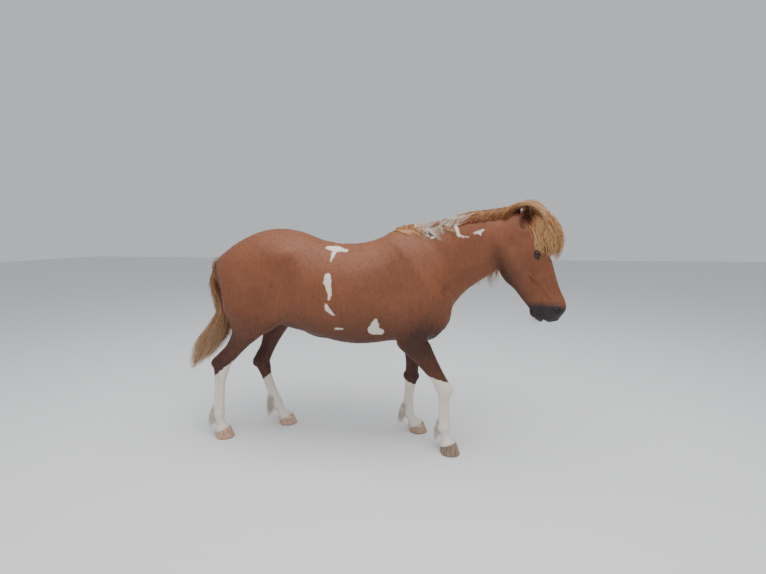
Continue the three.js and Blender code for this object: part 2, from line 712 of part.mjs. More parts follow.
// The hair's front and back edges in the side view, x and z down from the dock, the place of
// its middle to the side, and how far it spreads to each side there. It lies close behind
// the thighs, and the wind takes it back below them.
const TAIL_FRONT = [[-838, 1160], [-820, 1010], [-792, 890], [-776, 760], [-818, 640], [-900, 520]];
const TAIL_BACK = [[-872, 1165], [-862, 1030], [-822, 905], [-905, 765], [-1030, 610], [-1118, 392]];
const TAIL_SIDE = [4, 14, 34, 40, 36, 30];
const TAIL_SPREAD = [14, 40, 48, 52, 50, 36];
const TAIL_LOCKS = [
  { count: 7, depth: 1, width: 64 },
  { count: 2, depth: 0.3, width: 74 },
];
for (const layer of TAIL_LOCKS)
  for (let i = 0; i < layer.count; i++) {
    const around = (2 * Math.PI * (i + 0.5 * layer.depth)) / layer.count;
    const back = 0.5 - 0.5 * layer.depth * Math.cos(around);
    const start = between(0, 0.5) * (1 - back);
    const length = between(0.78, 1);
    const sway = between(-12, 12);
    const path = [DOCK[0].map((v, m) => mix(v, DOCK[2][m], 0.15 + start))];
    for (let j = 0; j < 6; j++) {
      const place = Math.min(mix(start, 5 * length, j / 5), 5);
      const k = Math.min(Math.floor(place), 4);
      const [front, rear, aside, spread] = [TAIL_FRONT, TAIL_BACK, TAIL_SIDE, TAIL_SPREAD].map((rows) =>
        [rows[k]].flat().map((v, m) => mix(v, [rows[k + 1]].flat()[m], place - k)));
      const y = aside[0] + layer.depth * Math.sin(around) * spread[0] + (sway * j) / 5;
      path.push([mix(front[0], rear[0], back), y, mix(front[1], rear[1], back)]);
    }
    const out = unit([-Math.cos(around), Math.sin(around), 0]);
    tail = tail.add(lock(path, path.map(() => out), vary(layer.width, 0.15), vary(20, 0.2)));
  }

// Head
let head = region([-70, -130, -250], [650, 130, 140], [28, 23, 24], headFrame);

// Ears: a cupped shell on a flat seat. Rows are share of the length, half width, depth behind
// the rim, how far the rim wraps round in degrees, and how much of the section is hollow.
const EAR_ROWS = [
  [0, 25, 24, 165, 0.1],
  [0.12, 28, 27, 150, 0.7],
  [0.3, 32, 28, 128, 0.8],
  [0.5, 32, 25, 112, 0.82],
  [0.7, 26, 19, 100, 0.8],
  [0.88, 14, 10, 92, 0.72],
  [1, 3, 3, 90, 0.3],
];
const EAR_POINTS = 6;
function earOf({ base, tip, open }) {
  const up = unit(tip);
  const side = unit(cross(up, open));
  const front = cross(side, up);
  const frame = { origin: headPoint(base), axes: [front, side, up].map(headWay) };
  const shell = EAR_ROWS.map(([share, half, deep, wrap, hollowed]) => {
    const arc = (scale) => Array.from({ length: EAR_POINTS + 1 }, (_, j) => {
      const a = radians(mix(-wrap, wrap, j / EAR_POINTS));
      return [-Math.cos(a) * deep * scale + 7 * share * share, Math.sin(a) * half * scale, share * EAR_LENGTH];
    });
    return [...arc(1), ...arc(hollowed).reverse()].map((q) => toWorld(frame, q));
  });
  const round = (grow, z) => Array.from({ length: 12 }, (_, j) => {
    const a = (2 * Math.PI * j) / 12;
    return toWorld(frame, [-Math.cos(a) * (24 + grow), Math.sin(a) * (25 + grow), z]);
  });
  const guard = EAR_ROWS.map(([share, half, deep]) => Array.from({ length: 8 }, (_, j) => {
    const a = (2 * Math.PI * j) / 8;
    return toWorld(frame, [-Math.cos(a) * (deep + 4) + 7 * share * share, Math.sin(a) * (half + 4), share * (EAR_LENGTH + 4)]);
  }));
  return { shell: loft(shell), seat: loft([round(2, -SEAM), round(2, 50)]), guard: loft(guard) };
}
const ears = { right: earOf(EARS.right), left: earOf(EARS.left) };
for (const ear of Object.values(ears)) head = head.subtract(ear.seat);

// A ball stretched to three radii in the head's frame
function ball(centre, radii, turn, wide, high) {
  const g = new THREE.SphereGeometry(1, wide, high);
  g.scale(...radii);
  g.rotateY(radians(turn));
  const p = g.attributes.position;
  for (let i = 0; i < p.count; i++) {
    const q = headPoint(add(centre, [p.getX(i), p.getY(i), p.getZ(i)]));
    p.setXYZ(i, ...q);
  }
  return solidOf(g);
}

// Eyes: a ball in a socket, under an upper and a lower lid. Lids are given as their two
// corners and their middle, in shares of the ball's radius, along, out and up.
const LIDS = [
  { name: "upper", corner: [1.02, 0.42, 0.04], middle: [0, 0.72, 0.72], thick: 6.5 },
  { name: "lower", corner: [1.02, 0.42, 0.0], middle: [0, 0.76, -0.62], thick: 5.5 },
];
const eyes = {};
for (const [name, side] of [["right", -1], ["left", 1]]) {
  const centre = [EYE[0], side * EYE[1], EYE[2]];
  for (const lid of LIDS) {
    const path = [];
    for (let j = 0; j <= 5; j++) {
      const t = -1 + j / 2.5;
      const bend = 1 - t * t;
      const way = unit([lid.corner[0] * t, side * mix(lid.corner[1], lid.middle[1], bend), mix(lid.corner[2], lid.middle[2], bend)]);
      path.push(headPoint(add(centre, times(way, EYE_RADIUS + 1.5))));
    }
    head = head.add(bar(path, path.map((_, j) => lid.thick * (j % 5 ? 1 : 0.6)), 4));
  }
  head = head.subtract(ball(centre, [1, 1, 1].map((v) => v * (EYE_RADIUS + 2 * SEAM)), 0, 10, 7));
  eyes[name] = ball(centre, [EYE_RADIUS, EYE_RADIUS, EYE_RADIUS], 0, 10, 7);
}

// Nostrils: a rim round a deep hollow, and the line of the mouth
const NOSTRIL = [554, 44, 50];
const MOUTH = [[502, 36, -20], [526, 36, -26], [554, 34, -31], [578, 26, -33], [596, 12, -34]];
for (const side of [-1, 1]) {
  const rim = [];
  for (let j = 0; j <= 5; j++) {
    const a = radians(-150 + 300 * (j / 5));
    const q = [NOSTRIL[0] + 19 * Math.cos(a), side * (NOSTRIL[1] + 6), NOSTRIL[2] + 14 * Math.sin(a)];
    rim.push(onFlesh(headPoint(q)));
  }
  head = head.add(bar(rim, rim.map((_, j) => (j % 5 ? 5.5 : 3)), 4));
  head = head.subtract(ball([NOSTRIL[0], side * (NOSTRIL[1] + 1), NOSTRIL[2]], [15, 17, 9.5], 24, 10, 6));
}
const mouthLine = [...MOUTH.map((q) => [q[0], -q[1], q[2]]), ...[...MOUTH].reverse()].map((q) => onFlesh(headPoint(q)));
head = head.subtract(bar(mouthLine, mouthLine.map((_, j) => (j % 9 ? 3.6 : 1.5)), 4));

// Forelock: bushy locks that rise between the ears, arch forward and fall over the forehead.
// The outermost and the innermost path run in the head's frame, along and up, and the spread
// to each side is given at the same places.
const FORELOCK_OUTER = [[10, 26], [-4, 84], [22, 132], [80, 168], [150, 182], [222, 172], [300, 120]];
const FORELOCK_INNER = [[34, 42], [46, 74], [82, 88], [124, 96], [170, 101], [212, 103], [250, 102]];
const FORELOCK_SPREAD = [28, 38, 52, 64, 72, 74, 64];
const FORELOCK = [
  { count: 4, depth: 1, spread: 0.62 },
  { count: 4, depth: 0.5, spread: 1.1 },
  { count: 2, depth: 0.1, spread: 0.7 },
];
for (const layer of FORELOCK)
  for (let i = 0; i < layer.count; i++) {
    const spread = layer.spread * mix(-1, 1, i / (layer.count - 1));
    const depth = layer.depth * Math.sqrt(1 - 0.6 * spread * spread);
    const length = between(0.84, 1);
    const sway = between(-8, 8);
    const path = FORELOCK_OUTER.map((outer, j) => {
      const inner = FORELOCK_INNER[j];
      const share = j / (FORELOCK_OUTER.length - 1);
      const along = mix(inner[0], outer[0], depth);
      const u = mix(FORELOCK_INNER[0][0], along, mix(1, length, share));
      return headPoint([u, spread * FORELOCK_SPREAD[j] + sway * share, mix(inner[1], outer[1], depth)]);
    });
    const turn = radians(62 * spread);
    const out = headWay([0, Math.sin(turn), Math.cos(turn)]);
    const across = headWay([0, Math.cos(turn), -Math.sin(turn)]);
    const outs = path.map((p, k) => {
      const ahead = sub(path[Math.min(k + 1, 6)], path[Math.max(k - 1, 0)]);
      const face = unit(cross(ahead, across));
      return dot(face, out) < -0.9 ? times(face, -1) : face;
    });
    head = head.add(lock(path, outs, vary(60, 0.12), vary(18, 0.15)));
  }
for (const ear of Object.values(ears)) head = head.subtract(ear.guard);
head = head.intersect(corner(HEAD_CUT, SEAM / 2));

// Neck, with the mane. Each row of locks starts beside the crest.
const CREST = resample(NECK.map((r) => [r[0], r[4], r[1]]), 4);
let neck = region([330, -330, 720], [1180, 220, 1560], [52, 46, 52]);
neck = neck.intersect(corner(NECK_CUT, SEAM / 2));
const MANE_ROWS = [
  { count: 9, from: 0.14, to: 0.96, side: 22, length: [620, 720], width: 98, thick: 17, lift: 16, steps: 4, start: [-0.1, 0.85, 0.3], end: [-0.02, 0.02, -1] },
  { count: 4, from: 0.1, to: 0.93, side: 4, length: [320, 400], width: 112, thick: 17, lift: 32, steps: 4, start: [-0.25, 0.75, 0.6], end: [-0.1, 0.15, -1] },
  { count: 3, from: 0.13, to: 0.42, side: -6, length: [100, 130], width: 76, thick: 13, lift: 6, steps: 3, start: [0.3, -0.6, 0.3], end: [0.55, -0.4, -0.7] },
];
for (const row of MANE_ROWS)
  for (let i = 0; i < row.count; i++) {
    const s = mix(row.from, row.to, (i + 0.5) / row.count) * (CREST.length - 1);
    const k = Math.min(Math.floor(s), CREST.length - 2);
    const crest = CREST[k].map((v, m) => mix(v, CREST[k + 1][m], s - k));
    const root = onFlesh(add(crest, [between(-8, 8), row.side, 4]));
    const start = [row.start[0] + between(-0.15, 0.15), row.start[1], row.start[2]];
    const lie = (t) => {
      const turn = Math.min(1, t * 1.8);
      return unit(start.map((v, m) => mix(v, row.end[m], turn)));
    };
    // The mane starts low and short at the withers
    const grown = Math.min(1, 0.35 + s / (CREST.length - 1) / 0.35);
    neck = neck.add(fall(root, lie, between(...row.length) * grown, vary(row.width, 0.15), vary(row.thick, 0.15), row.lift * grown, row.steps));
  }
// Locks that lie along the crest on the near side, each over the root of the next
const RIDGE = 5;
const RIDGE_REACH = 0.3;
const RIDGE_LIE = [[-10, -12], [-24, 14], [-26, 22], [-20, 27], [-8, 24]];
for (let i = 0; i < RIDGE; i++) {
  const start = mix(0.15, 1 - RIDGE_REACH, i / (RIDGE - 1));
  const path = RIDGE_LIE.map(([aside, high], j) => {
    const s = (start + (RIDGE_REACH * j) / 4) * (CREST.length - 1);
    const k = Math.min(Math.floor(s), CREST.length - 2);
    const crest = CREST[k].map((v, m) => mix(v, CREST[k + 1][m], s - k));
    return add(crest, [0, aside + between(-3, 3), high + between(-3, 3)]);
  });
  neck = neck.add(lock(path, path.map(() => unit([0, -0.75, 0.66])), vary(62, 0.1), vary(26, 0.1)));
}
for (const ear of Object.values(ears)) neck = neck.subtract(ear.guard);
neck = neck.subtract(corner(HEAD_CUT, -SEAM / 2));

horse.add(meshOf(torso, "torso", CHESTNUT));
horse.add(meshOf(neck, "neck", CHESTNUT));
horse.add(meshOf(head, "head", HEAD_RED));
horse.add(meshOf(ears.right.shell, "ear_right", HEAD_RED));
horse.add(meshOf(ears.left.shell, "ear_left", HEAD_RED));
horse.add(meshOf(eyes.right, "eye_right", EYE_DARK));
horse.add(meshOf(eyes.left, "eye_left", EYE_DARK));
horse.add(meshOf(tail, "tail", FLAXEN));

// Legs: an upper piece, a lower piece with feather behind the fetlock, and a hoof
const HOOF_SIDES = 14;
const HOOF_CORONET = [53, 49, 51];
const HOOF_SOLE = [66, 54, 60];
const SOLE_AHEAD = 16;
function hoofOf(joints) {
  const coronet = [joints.pastern[0], joints.pastern[1]];
  const ring = (share) => Array.from({ length: HOOF_SIDES }, (_, j) => {
    const a = (2 * Math.PI * j) / HOOF_SIDES;
    const [c, s] = [Math.cos(a), Math.sin(a)];
    const reach = (sizes) => [c * (c > 0 ? sizes[0] : sizes[1]), s * sizes[2]];
    const top = reach(HOOF_CORONET);
    const sole = reach(HOOF_SOLE);
    const high = coronet[1] + Math.tan(radians(CORONET_SLOPE)) * top[0] - SEAM;
    const low = FLOOR - joints.fetlock[2];
    const x = mix(coronet[0] + SOLE_AHEAD + sole[0], coronet[0] + top[0], share);
    return toWorld(joints.foot, [x, mix(sole[1], top[1], share), mix(low, high, Math.max(share, 0))]);
  });
  return loft([ring(-0.02), ring(0.06), ring(0.55), ring(1)]);
}
const FEATHER = 4;
function legOf(name, joints, middle, cut, colours) {
  const side = Math.sign(joints[middle][1]);
  const knee = joints[middle];
  const parted = [knee, [0, 0, -1]];
  const top = middle === "knee" ? joints.elbow : joints.stifle;
  const reach = middle === "knee" ? 150 : 210;
  const lowest = Math.min(knee[0], top[0]);
  const highest = Math.max(knee[0], top[0]);
  const inner = side > 0 ? [-10, 290] : [-290, 10];
  let upper = region([lowest - reach, inner[0], knee[2] - 60], [highest + reach, inner[1], 880], [38, 34, 40]);
  upper = upper.intersect(corner(cut(side), SEAM / 2)).subtract(corner([parted], -SEAM / 2));
  horse.add(meshOf(upper, name + "_upper", colours[0]));

  const footReach = 150;
  let lower = region(
    [Math.min(knee[0], joints.fetlock[0]) - footReach, knee[1] - 110, 0], [Math.max(knee[0], joints.fetlock[0]) + footReach, knee[1] + 110, knee[2] + 70],
    [23, 23, 34],
  );
  const way = sub(toWorld(joints.foot, [-Math.sin(radians(CORONET_SLOPE)), 0, Math.cos(radians(CORONET_SLOPE))]), joints.fetlock);
  const coronet = toWorld(joints.foot, [joints.pastern[0], 0, joints.pastern[1]]);
  lower = lower.intersect(corner([parted], SEAM / 2)).intersect(corner([[coronet, way]], 0));
  for (let i = 0; i < FEATHER; i++) {
    const around = radians(180 + mix(-75, 75, (i + 0.5) / FEATHER));
    const high = i % 2 ? 46 : 14;
    const root = onFlesh(toWorld(joints.foot, [38 * Math.cos(around) - 4, 34 * Math.sin(around), high]));
    const away = sub(toWorld(joints.foot, [Math.cos(around), Math.sin(around), 0]), joints.fetlock);
    const lie = (t) => unit(add(times(away, mix(0.42, 0.12, t)), [0, 0, -1]));
    lower = lower.add(fall(root, lie, between(84, 108), vary(40, 0.12), vary(11, 0.2), 5, 3));
  }
  horse.add(meshOf(lower, name + "_lower", colours[1]));
  horse.add(meshOf(hoofOf(joints), name + "_hoof", HORN));
}
legOf("foreleg_right", FORE.right, "knee", foreCut, [CHESTNUT, WHITE]);
legOf("foreleg_left", FORE.left, "knee", foreCut, [DARK, WHITE]);
legOf("hindleg_right", HIND.right, "hock", hindCut, [CHESTNUT, WHITE]);
legOf("hindleg_left", HIND.left, "hock", hindCut, [DARK, WHITE]);

// The origin lies on the floor, under the middle of the whole
const whole = new THREE.Box3().setFromObject(horse);
const middle = whole.getCenter(new THREE.Vector3());
for (const mesh of horse.children) mesh.geometry.translate(-middle.x, -middle.y, -FLOOR);

export default horse;
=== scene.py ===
"""A life-size Icelandic horse: one fine skin, real hooves and eyes, and a mane, forelock, tail and
feather of separate hairs. Lengths in the tables are millimetres, as in the part's own source, and
every mesh is made in metres in the part's frame."""

import math

import bmesh
import bpy
import numpy as np
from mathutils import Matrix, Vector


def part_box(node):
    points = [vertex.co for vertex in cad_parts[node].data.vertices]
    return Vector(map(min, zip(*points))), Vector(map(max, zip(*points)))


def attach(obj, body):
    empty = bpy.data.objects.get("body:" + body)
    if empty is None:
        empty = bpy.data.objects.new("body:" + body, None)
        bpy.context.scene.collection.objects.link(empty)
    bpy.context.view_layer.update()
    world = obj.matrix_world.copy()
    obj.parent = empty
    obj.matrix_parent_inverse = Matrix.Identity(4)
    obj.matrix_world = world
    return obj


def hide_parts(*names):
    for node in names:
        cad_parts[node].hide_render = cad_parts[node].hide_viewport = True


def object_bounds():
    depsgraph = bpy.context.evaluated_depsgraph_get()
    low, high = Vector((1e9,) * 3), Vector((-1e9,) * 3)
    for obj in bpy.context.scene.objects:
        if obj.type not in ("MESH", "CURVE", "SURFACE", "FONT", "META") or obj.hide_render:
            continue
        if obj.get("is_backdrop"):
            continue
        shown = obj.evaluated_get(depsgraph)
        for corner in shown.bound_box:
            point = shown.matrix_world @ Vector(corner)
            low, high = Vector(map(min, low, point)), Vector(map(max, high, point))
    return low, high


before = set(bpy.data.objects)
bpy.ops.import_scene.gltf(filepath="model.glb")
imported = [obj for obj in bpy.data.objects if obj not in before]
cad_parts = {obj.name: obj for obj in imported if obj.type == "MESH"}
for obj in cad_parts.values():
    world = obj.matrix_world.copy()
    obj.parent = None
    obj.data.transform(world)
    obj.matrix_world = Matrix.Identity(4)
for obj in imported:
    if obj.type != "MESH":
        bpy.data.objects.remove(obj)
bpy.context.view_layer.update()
chance = np.random.RandomState(7)

# The view: a picture 766 wide and 574 high, its focal length in the same pixels, where the camera
# stands in the tables' own frame, which way it looks and how far down it tips.
PICTURE_WIDTH = 766
FOCAL_PIXELS = 431
CAMERA_PLACE = (692, -2711, 1380)
CAMERA_HEADING = 8.216
CAMERA_TIP = 7.14

# The skin lies this far inside the solids, which hold the coat as well
COAT_DEPTH = 1.0
STRIP_STEPS = 8
# About a whole turn, in radians
TURN = 6.28


def lerp(a, b, t):
    return a + (b - a) * t


def unit(v):
    v = np.asarray(v, float)
    return v / np.maximum(np.linalg.norm(v, axis=-1, keepdims=True), 1e-12)


class Axes:
    """An origin with three unit axes, turned about the upright and then tipped down."""

    def __init__(self, origin, yaw, pitch):
        cy, sy = math.cos(math.radians(yaw)), math.sin(math.radians(yaw))
        cp, sp = math.cos(math.radians(pitch)), math.sin(math.radians(pitch))
        along = np.array([cy * cp, sy * cp, -sp])
        up = np.array([cy * sp, sy * sp, cp])
        self.origin = np.array(origin, float)
        self.axes = np.array([along, np.cross(up, along), up])

    def local(self, p):
        return (p - self.origin) @ self.axes.T

    def world(self, q):
        return self.origin + np.asarray(q, float) @ self.axes

    def way(self, q):
        return np.asarray(q, float) @ self.axes


def resample(rows, between):
    """A smooth curve through the rows of a table, with extra rows between them."""
    rows = np.asarray(rows, float)
    last = len(rows) - 1
    fine = []
    for i in range(last):
        p0, p1, p2, p3 = (rows[min(max(k, 0), last)] for k in (i - 1, i, i + 1, i + 2))
        for j in range(between):
            t = j / between
            b = p2 - p0
            c = 2 * p0 - 5 * p1 + 4 * p2 - p3
            d = 3 * p1 - p0 - 3 * p2 + p3
            fine.append(0.5 * (2 * p1 + b * t + c * t * t + d * t**3))
    fine.append(rows[last])
    return np.array(fine)


def oval_distance(side, along, across, front, back, power):
    """Distance to a closed oval whose two halves differ."""
    reach = np.where(along > 0, front, back)
    q = ((np.abs(side) / across) ** power + (np.abs(along) / reach) ** power) ** (1 / power)
    rho = np.hypot(side, along)
    inner = -np.minimum(across, reach)
    return np.maximum(np.where(q < 1e-6, inner, rho - rho / np.maximum(q, 1e-6)), inner)


def strip(rows):
    """A body described from the side. Each row is front x, front z, back x, back z, centre y,
    half width, widest place from back 0 to front 1, and power."""
    fx, fz, bx, bz, y, half, wide, power = resample(rows, STRIP_STEPS).T
    length = np.hypot(fx - bx, fz - bz)
    ux, uz = (fx - bx) / length, (fz - bz) / length
    table = np.stack([bx, bz, ux, uz, length, y, half, wide, power], axis=1)
    mx, mz = bx + ux * length / 2, bz + uz * length / 2
    turn = np.sign(ux[0] * (mz[1] - mz[0]) - uz[0] * (mx[1] - mx[0]))

    def at(row, p, beyond):
        bx, bz, ux, uz, length, y, half, wide, power = row.T
        along = (p[:, 0] - bx) * ux + (p[:, 2] - bz) * uz
        middle = length * wide
        d = oval_distance(p[:, 1] - y, along - middle, half, length - middle, middle, power)
        if beyond is None:
            return d
        return np.where(d > 0, np.hypot(d, beyond), np.maximum(d, -20) + beyond)

    def field(p):
        def past(i):
            return turn * (ux[i] * (p[:, 2] - bz[i]) - uz[i] * (p[:, 0] - bx[i]))

        best = np.full(len(p), 1e9)
        before = past(0)
        m = before < 0
        if m.any():
            best[m] = at(table[:1], p[m], -before[m])
        for i in range(len(table) - 1):
            after = past(i + 1)
            m = (before >= 0) & (after <= 0) & (before > after)
            if m.any():
                t = (before[m] / (before[m] - after[m]))[:, None]
                best[m] = np.minimum(best[m], at(lerp(table[i], table[i + 1], t), p[m], None))
            before = after
        m = before > 0
        if m.any():
            best[m] = np.minimum(best[m], at(table[-1:], p[m], before[m]))
        return best

    return field


def spindle(start, end, deep, wide):
    """A muscle from one end to the other, with its thickness in the side view and across."""
    start, end = np.array(start, float), np.array(end, float)
    centre = (start + end) / 2
    along = unit(end - start)
    out = unit(np.cross(np.cross(along, [0, 1, 0]), along))
    axes = np.array([along, out, np.cross(along, out)])
    r = np.array([np.linalg.norm(end - start) / 2, wide, deep])

    def field(p):
        q = (p - centre) @ axes.T
        k0 = np.linalg.norm(q / r, axis=1)
        k1 = np.linalg.norm(q / r**2, axis=1)
        return np.where(k1 < 1e-9, -r.min(), k0 * (k0 - 1) / np.maximum(k1, 1e-9))

    return field


def cord_of(points, radii):
    """A round bar through points: the body of a lid, a vein or a rim."""
    points, radii = np.asarray(points, float), np.asarray(radii, float)

    def field(p):
        best = np.full(len(p), 1e9)
        for a, b, ra, rb in zip(points[:-1], points[1:], radii[:-1], radii[1:]):
            ab = b - a
            t = np.clip(((p - a) @ ab) / (ab @ ab), 0, 1)
            best = np.minimum(best, np.linalg.norm(p - a - t[:, None] * ab, axis=1) - lerp(ra, rb, t))
        return best

    return field


def soft_min(a, b, k):
    h = np.maximum(k - np.abs(a - b), 0) / k
    return np.minimum(a, b) - h * h * k / 4


# Trunk: x, top, bottom, half width, height of the widest place, power
TRUNK = [
    [-800, 1225, 1075, 60, 1150, 2.0],
    [-745, 1262, 985, 135, 1130, 2.0],
    [-660, 1318, 905, 190, 1110, 2.1],
    [-560, 1368, 850, 225, 1095, 2.15],
    [-450, 1402, 800, 238, 1075, 2.15],
    [-340, 1408, 768, 240, 1050, 2.15],
    [-220, 1386, 742, 248, 1010, 2.15],
    [-100, 1340, 712, 265, 965, 2.15],
    [20, 1318, 684, 277, 945, 2.15],
    [140, 1316, 672, 278, 945, 2.15],
    [250, 1338, 680, 262, 955, 2.15],
    [350, 1376, 694, 236, 975, 2.1],
    [450, 1388, 698, 212, 985, 2.1],
    [550, 1350, 696, 196, 985, 2.1],
    [630, 1240, 716, 168, 970, 2.1],
    [685, 1100, 775, 118, 940, 2.0],
]

# Neck: crest x, crest z, underside x, underside z, centre y, half width, widest place, power
NECK = [
    [360, 1376, 660, 800, 0, 150, 0.42, 2.0],
    [480, 1386, 728, 900, -8, 132, 0.4, 2.0],
    [600, 1398, 778, 978, -26, 104, 0.38, 2.0],
    [720, 1424, 832, 1040, -56, 84, 0.38, 2.0],
    [840, 1456, 890, 1090, -98, 75, 0.4, 2.0],
    [960, 1470, 945, 1135, -142, 72, 0.42, 2.0],
    [1060, 1478, 1000, 1180, -180, 70, 0.45, 2.0],
]

# Head, in its own frame: x runs from the poll to the lips, z towards the forehead
POLL = (1101, -190, 1480)
head = Axes(POLL, -16, 72.2)
SKULL = [
    [-5, 20, 20, -95, 0, 55, 0.5, 2.2],
    [40, 52, 50, -125, 0, 68, 0.55, 2.3],
    [105, 74, 105, -120, 0, 82, 0.62, 2.4],
    [180, 84, 180, -110, 0, 88, 0.68, 2.5],
    [240, 88, 240, -100, 0, 86, 0.68, 2.5],
    [310, 92, 310, -80, 0, 70, 0.62, 2.4],
    [390, 90, 390, -62, 0, 55, 0.55, 2.3],
    [460, 92, 460, -52, 0, 47, 0.5, 2.2],
    [522, 100, 517, -50, 0, 47, 0.5, 2.2],
    [570, 92, 565, -50, 0, 47, 0.5, 2.2],
    [603, 56, 597, -38, 0, 38, 0.5, 2.0],
]
JAW = [
    [150, -20, 120, -150, 0, 62, 0.5, 2.4],
    [215, -20, 200, -186, 0, 70, 0.5, 2.5],
    [280, -20, 275, -194, 0, 70, 0.52, 2.5],
    [340, -20, 335, -178, 0, 60, 0.55, 2.4],
    [400, -20, 395, -142, 0, 46, 0.5, 2.3],
    [460, -20, 460, -118, 0, 36, 0.5, 2.2],
    [520, -20, 520, -94, 0, 34, 0.5, 2.1],
    [555, -25, 555, -90, 0, 34, 0.5, 2.0],
    [590, -30, 586, -78, 0, 25, 0.5, 2.0],
]

# Legs, as joint places. The foot's heading is in degrees from straight ahead.
FORE = {
    "right": {
        "joints": [(600, -140, 930), (492, -148, 735), (704, -138, 430), (702, -112, 172)],
        "heading": -34,
        "pastern": (30, -98),
    },
    "left": {
        "joints": [(590, 140, 930), (476, 148, 730), (478, 142, 412), (452, 138, 164)],
        "heading": 0,
        "pastern": (56, -92),
    },
}
HIND = {
    "right": {
        "joints": [(-520, -130, 1090), (-468, -165, 815), (-752, -140, 526), (-800, -124, 176)],
        "heading": -4,
        "pastern": (26, -104),
    },
    "left": {
        "joints": [(-480, 130, 1090), (-434, 165, 800), (-598, 140, 470), (-492, 132, 166)],
        "heading": 4,
        "pastern": (62, -94),
    },
}

# Leg stations: which joint the row starts from, how far on it is towards the next, reach to the
# front, reach to the back, half width, power
FORE_STATIONS = [
    (0, 0.55, 95, 105, 62, 2.0),
    (1, 0.02, 92, 92, 60, 2.0),
    (1, 0.22, 84, 70, 56, 2.0),
    (1, 0.45, 68, 51, 48, 2.0),
    (1, 0.7, 53, 41, 40, 2.1),
    (1, 0.88, 46, 42, 38, 2.2),
    (2, 0.0, 46, 48, 39, 2.4),
    (2, 0.14, 40, 42, 33, 2.3),
    (2, 0.32, 32, 37, 25, 2.2),
    (2, 0.6, 31, 36, 23, 2.2),
    (2, 0.84, 36, 40, 28, 2.2),
    (2, 1.0, 40, 44, 34, 2.2),
]
HIND_STATIONS = [
    (0, 0.15, 150, 175, 95, 2.0),
    (0, 0.6, 128, 175, 95, 2.0),
    (1, -0.05, 92, 182, 84, 2.0),
    (1, 0.18, 64, 140, 70, 2.0),
    (1, 0.42, 50, 92, 54, 2.0),
    (1, 0.68, 46, 60, 41, 2.1),
    (1, 0.9, 50, 62, 38, 2.2),
    (2, 0.0, 58, 62, 40, 2.3),
    (2, 0.16, 48, 46, 35, 2.3),
    (2, 0.34, 35, 39, 26, 2.2),
    (2, 0.62, 33, 37, 24, 2.2),
    (2, 0.86, 37, 41, 29, 2.2),
    (2, 1.0, 40, 45, 35, 2.2),
]
LEGS = {}
for kind, legs in (("fore", FORE), ("hind", HIND)):
    for side, leg in legs.items():
        LEGS[kind, side] = leg

FOOT_STATIONS = [
    (-0.12, 36, 40, 33),
    (0.12, 37, 44, 34),
    (0.4, 29, 34, 28),
    (0.68, 32, 36, 31),
    (0.9, 45, 47, 44),
    (1.02, 52, 50, 50),
    (1.14, 54, 52, 52),
]
CORONET_SLOPE = math.radians(20)
FLOOR = 20


def leg_strip(joints, stations):
    rows = []
    for k, share, front, back, half, power in stations:
        k = min(k, len(joints) - 2)
        here, after = np.array(joints[k], float), np.array(joints[k + 1], float)
        place = here + (after - here) * share

        def line(a, b):
            return unit(np.array(b, float)[[0, 2]] - np.array(a, float)[[0, 2]])

        own = line(here, after)
        near = own
        if share < 0.5 and k > 0:
            near = line(joints[k - 1], here)
        if share >= 0.5 and k + 2 < len(joints):
            near = line(after, joints[k + 2])
        dx, dz = unit(lerp(own, near, 0.5 * (abs(share - 0.5) * 2) ** 3))
        rows.append([
            place[0] - dz * front, place[2] + dx * front, place[0] + dz * back, place[2] - dx * back,
            place[1], half, back / (front + back), power,
        ])
    return strip(rows)


def foot_strip(pastern):
    dx, dz = unit(np.array(pastern, float))
    rows = []
    for share, front, back, half in FOOT_STATIONS:
        turn = max(0, min(share, 1))
        nx, nz = lerp(-dz, math.cos(CORONET_SLOPE), turn), lerp(dx, math.sin(CORONET_SLOPE), turn)
        cx, cz = pastern[0] * share, pastern[1] * share
        rows.append([cx + nx * front, cz + nz * front, cx - nx * back, cz - nz * back, 0, half, 0.5, 2.1])
    return strip(rows)


BLEND_REACH = 60
forms = []


def form(field, soft, low, high, axes=None, hollow=False):
    forms.append((field, soft, np.array(low, float), np.array(high, float), axes, hollow))


def flesh(p, some=None):
    """How far points lie outside the flesh, in millimetres."""
    value = np.full(len(p), 1e3)
    for field, soft, low, high, axes, hollow in some or forms:
        q = axes.local(p) if axes else p
        near = ((q > low - BLEND_REACH) & (q < high + BLEND_REACH)).all(axis=1)
        if near.any():
            d = field(q[near])
            value[near] = -soft_min(-value[near], d, soft) if hollow else soft_min(value[near], d, soft)
    return value


trunk_rows = [[x, t, x, b, 0, h, (w - b) / (t - b), p] for x, t, b, h, w, p in TRUNK]
form(strip(trunk_rows), 40, [-900, -330, 600], [760, 330, 1460])
form(strip(NECK), 55, [300, -300, 740], [1120, 170, 1500])
feet = {}
for kind, legs, stations in (("fore", FORE, FORE_STATIONS), ("hind", HIND, HIND_STATIONS)):
    for side, leg in legs.items():
        joints = leg["joints"]
        upper, middle, fetlock = joints[1], joints[2], joints[3]
        lowest, highest = min(upper[0], middle[0]), max(upper[0], middle[0])
        form(
            leg_strip(joints, stations), 45,
            [lowest - 190, middle[1] - 110, 100], [highest + 190, middle[1] + 110, 1200],
        )
        feet[kind, side] = Axes(fetlock, leg["heading"], 0)
        form(foot_strip(leg["pastern"]), 12, [-80, -70, -160], [130, 70, 50], feet[kind, side])


def muscle(start, end, deep, wide, soft):
    low = np.minimum(start, end) - max(deep, wide) - 20
    high = np.maximum(start, end) + max(deep, wide) + 20
    form(spindle(start, end, deep, wide), soft, low, high)


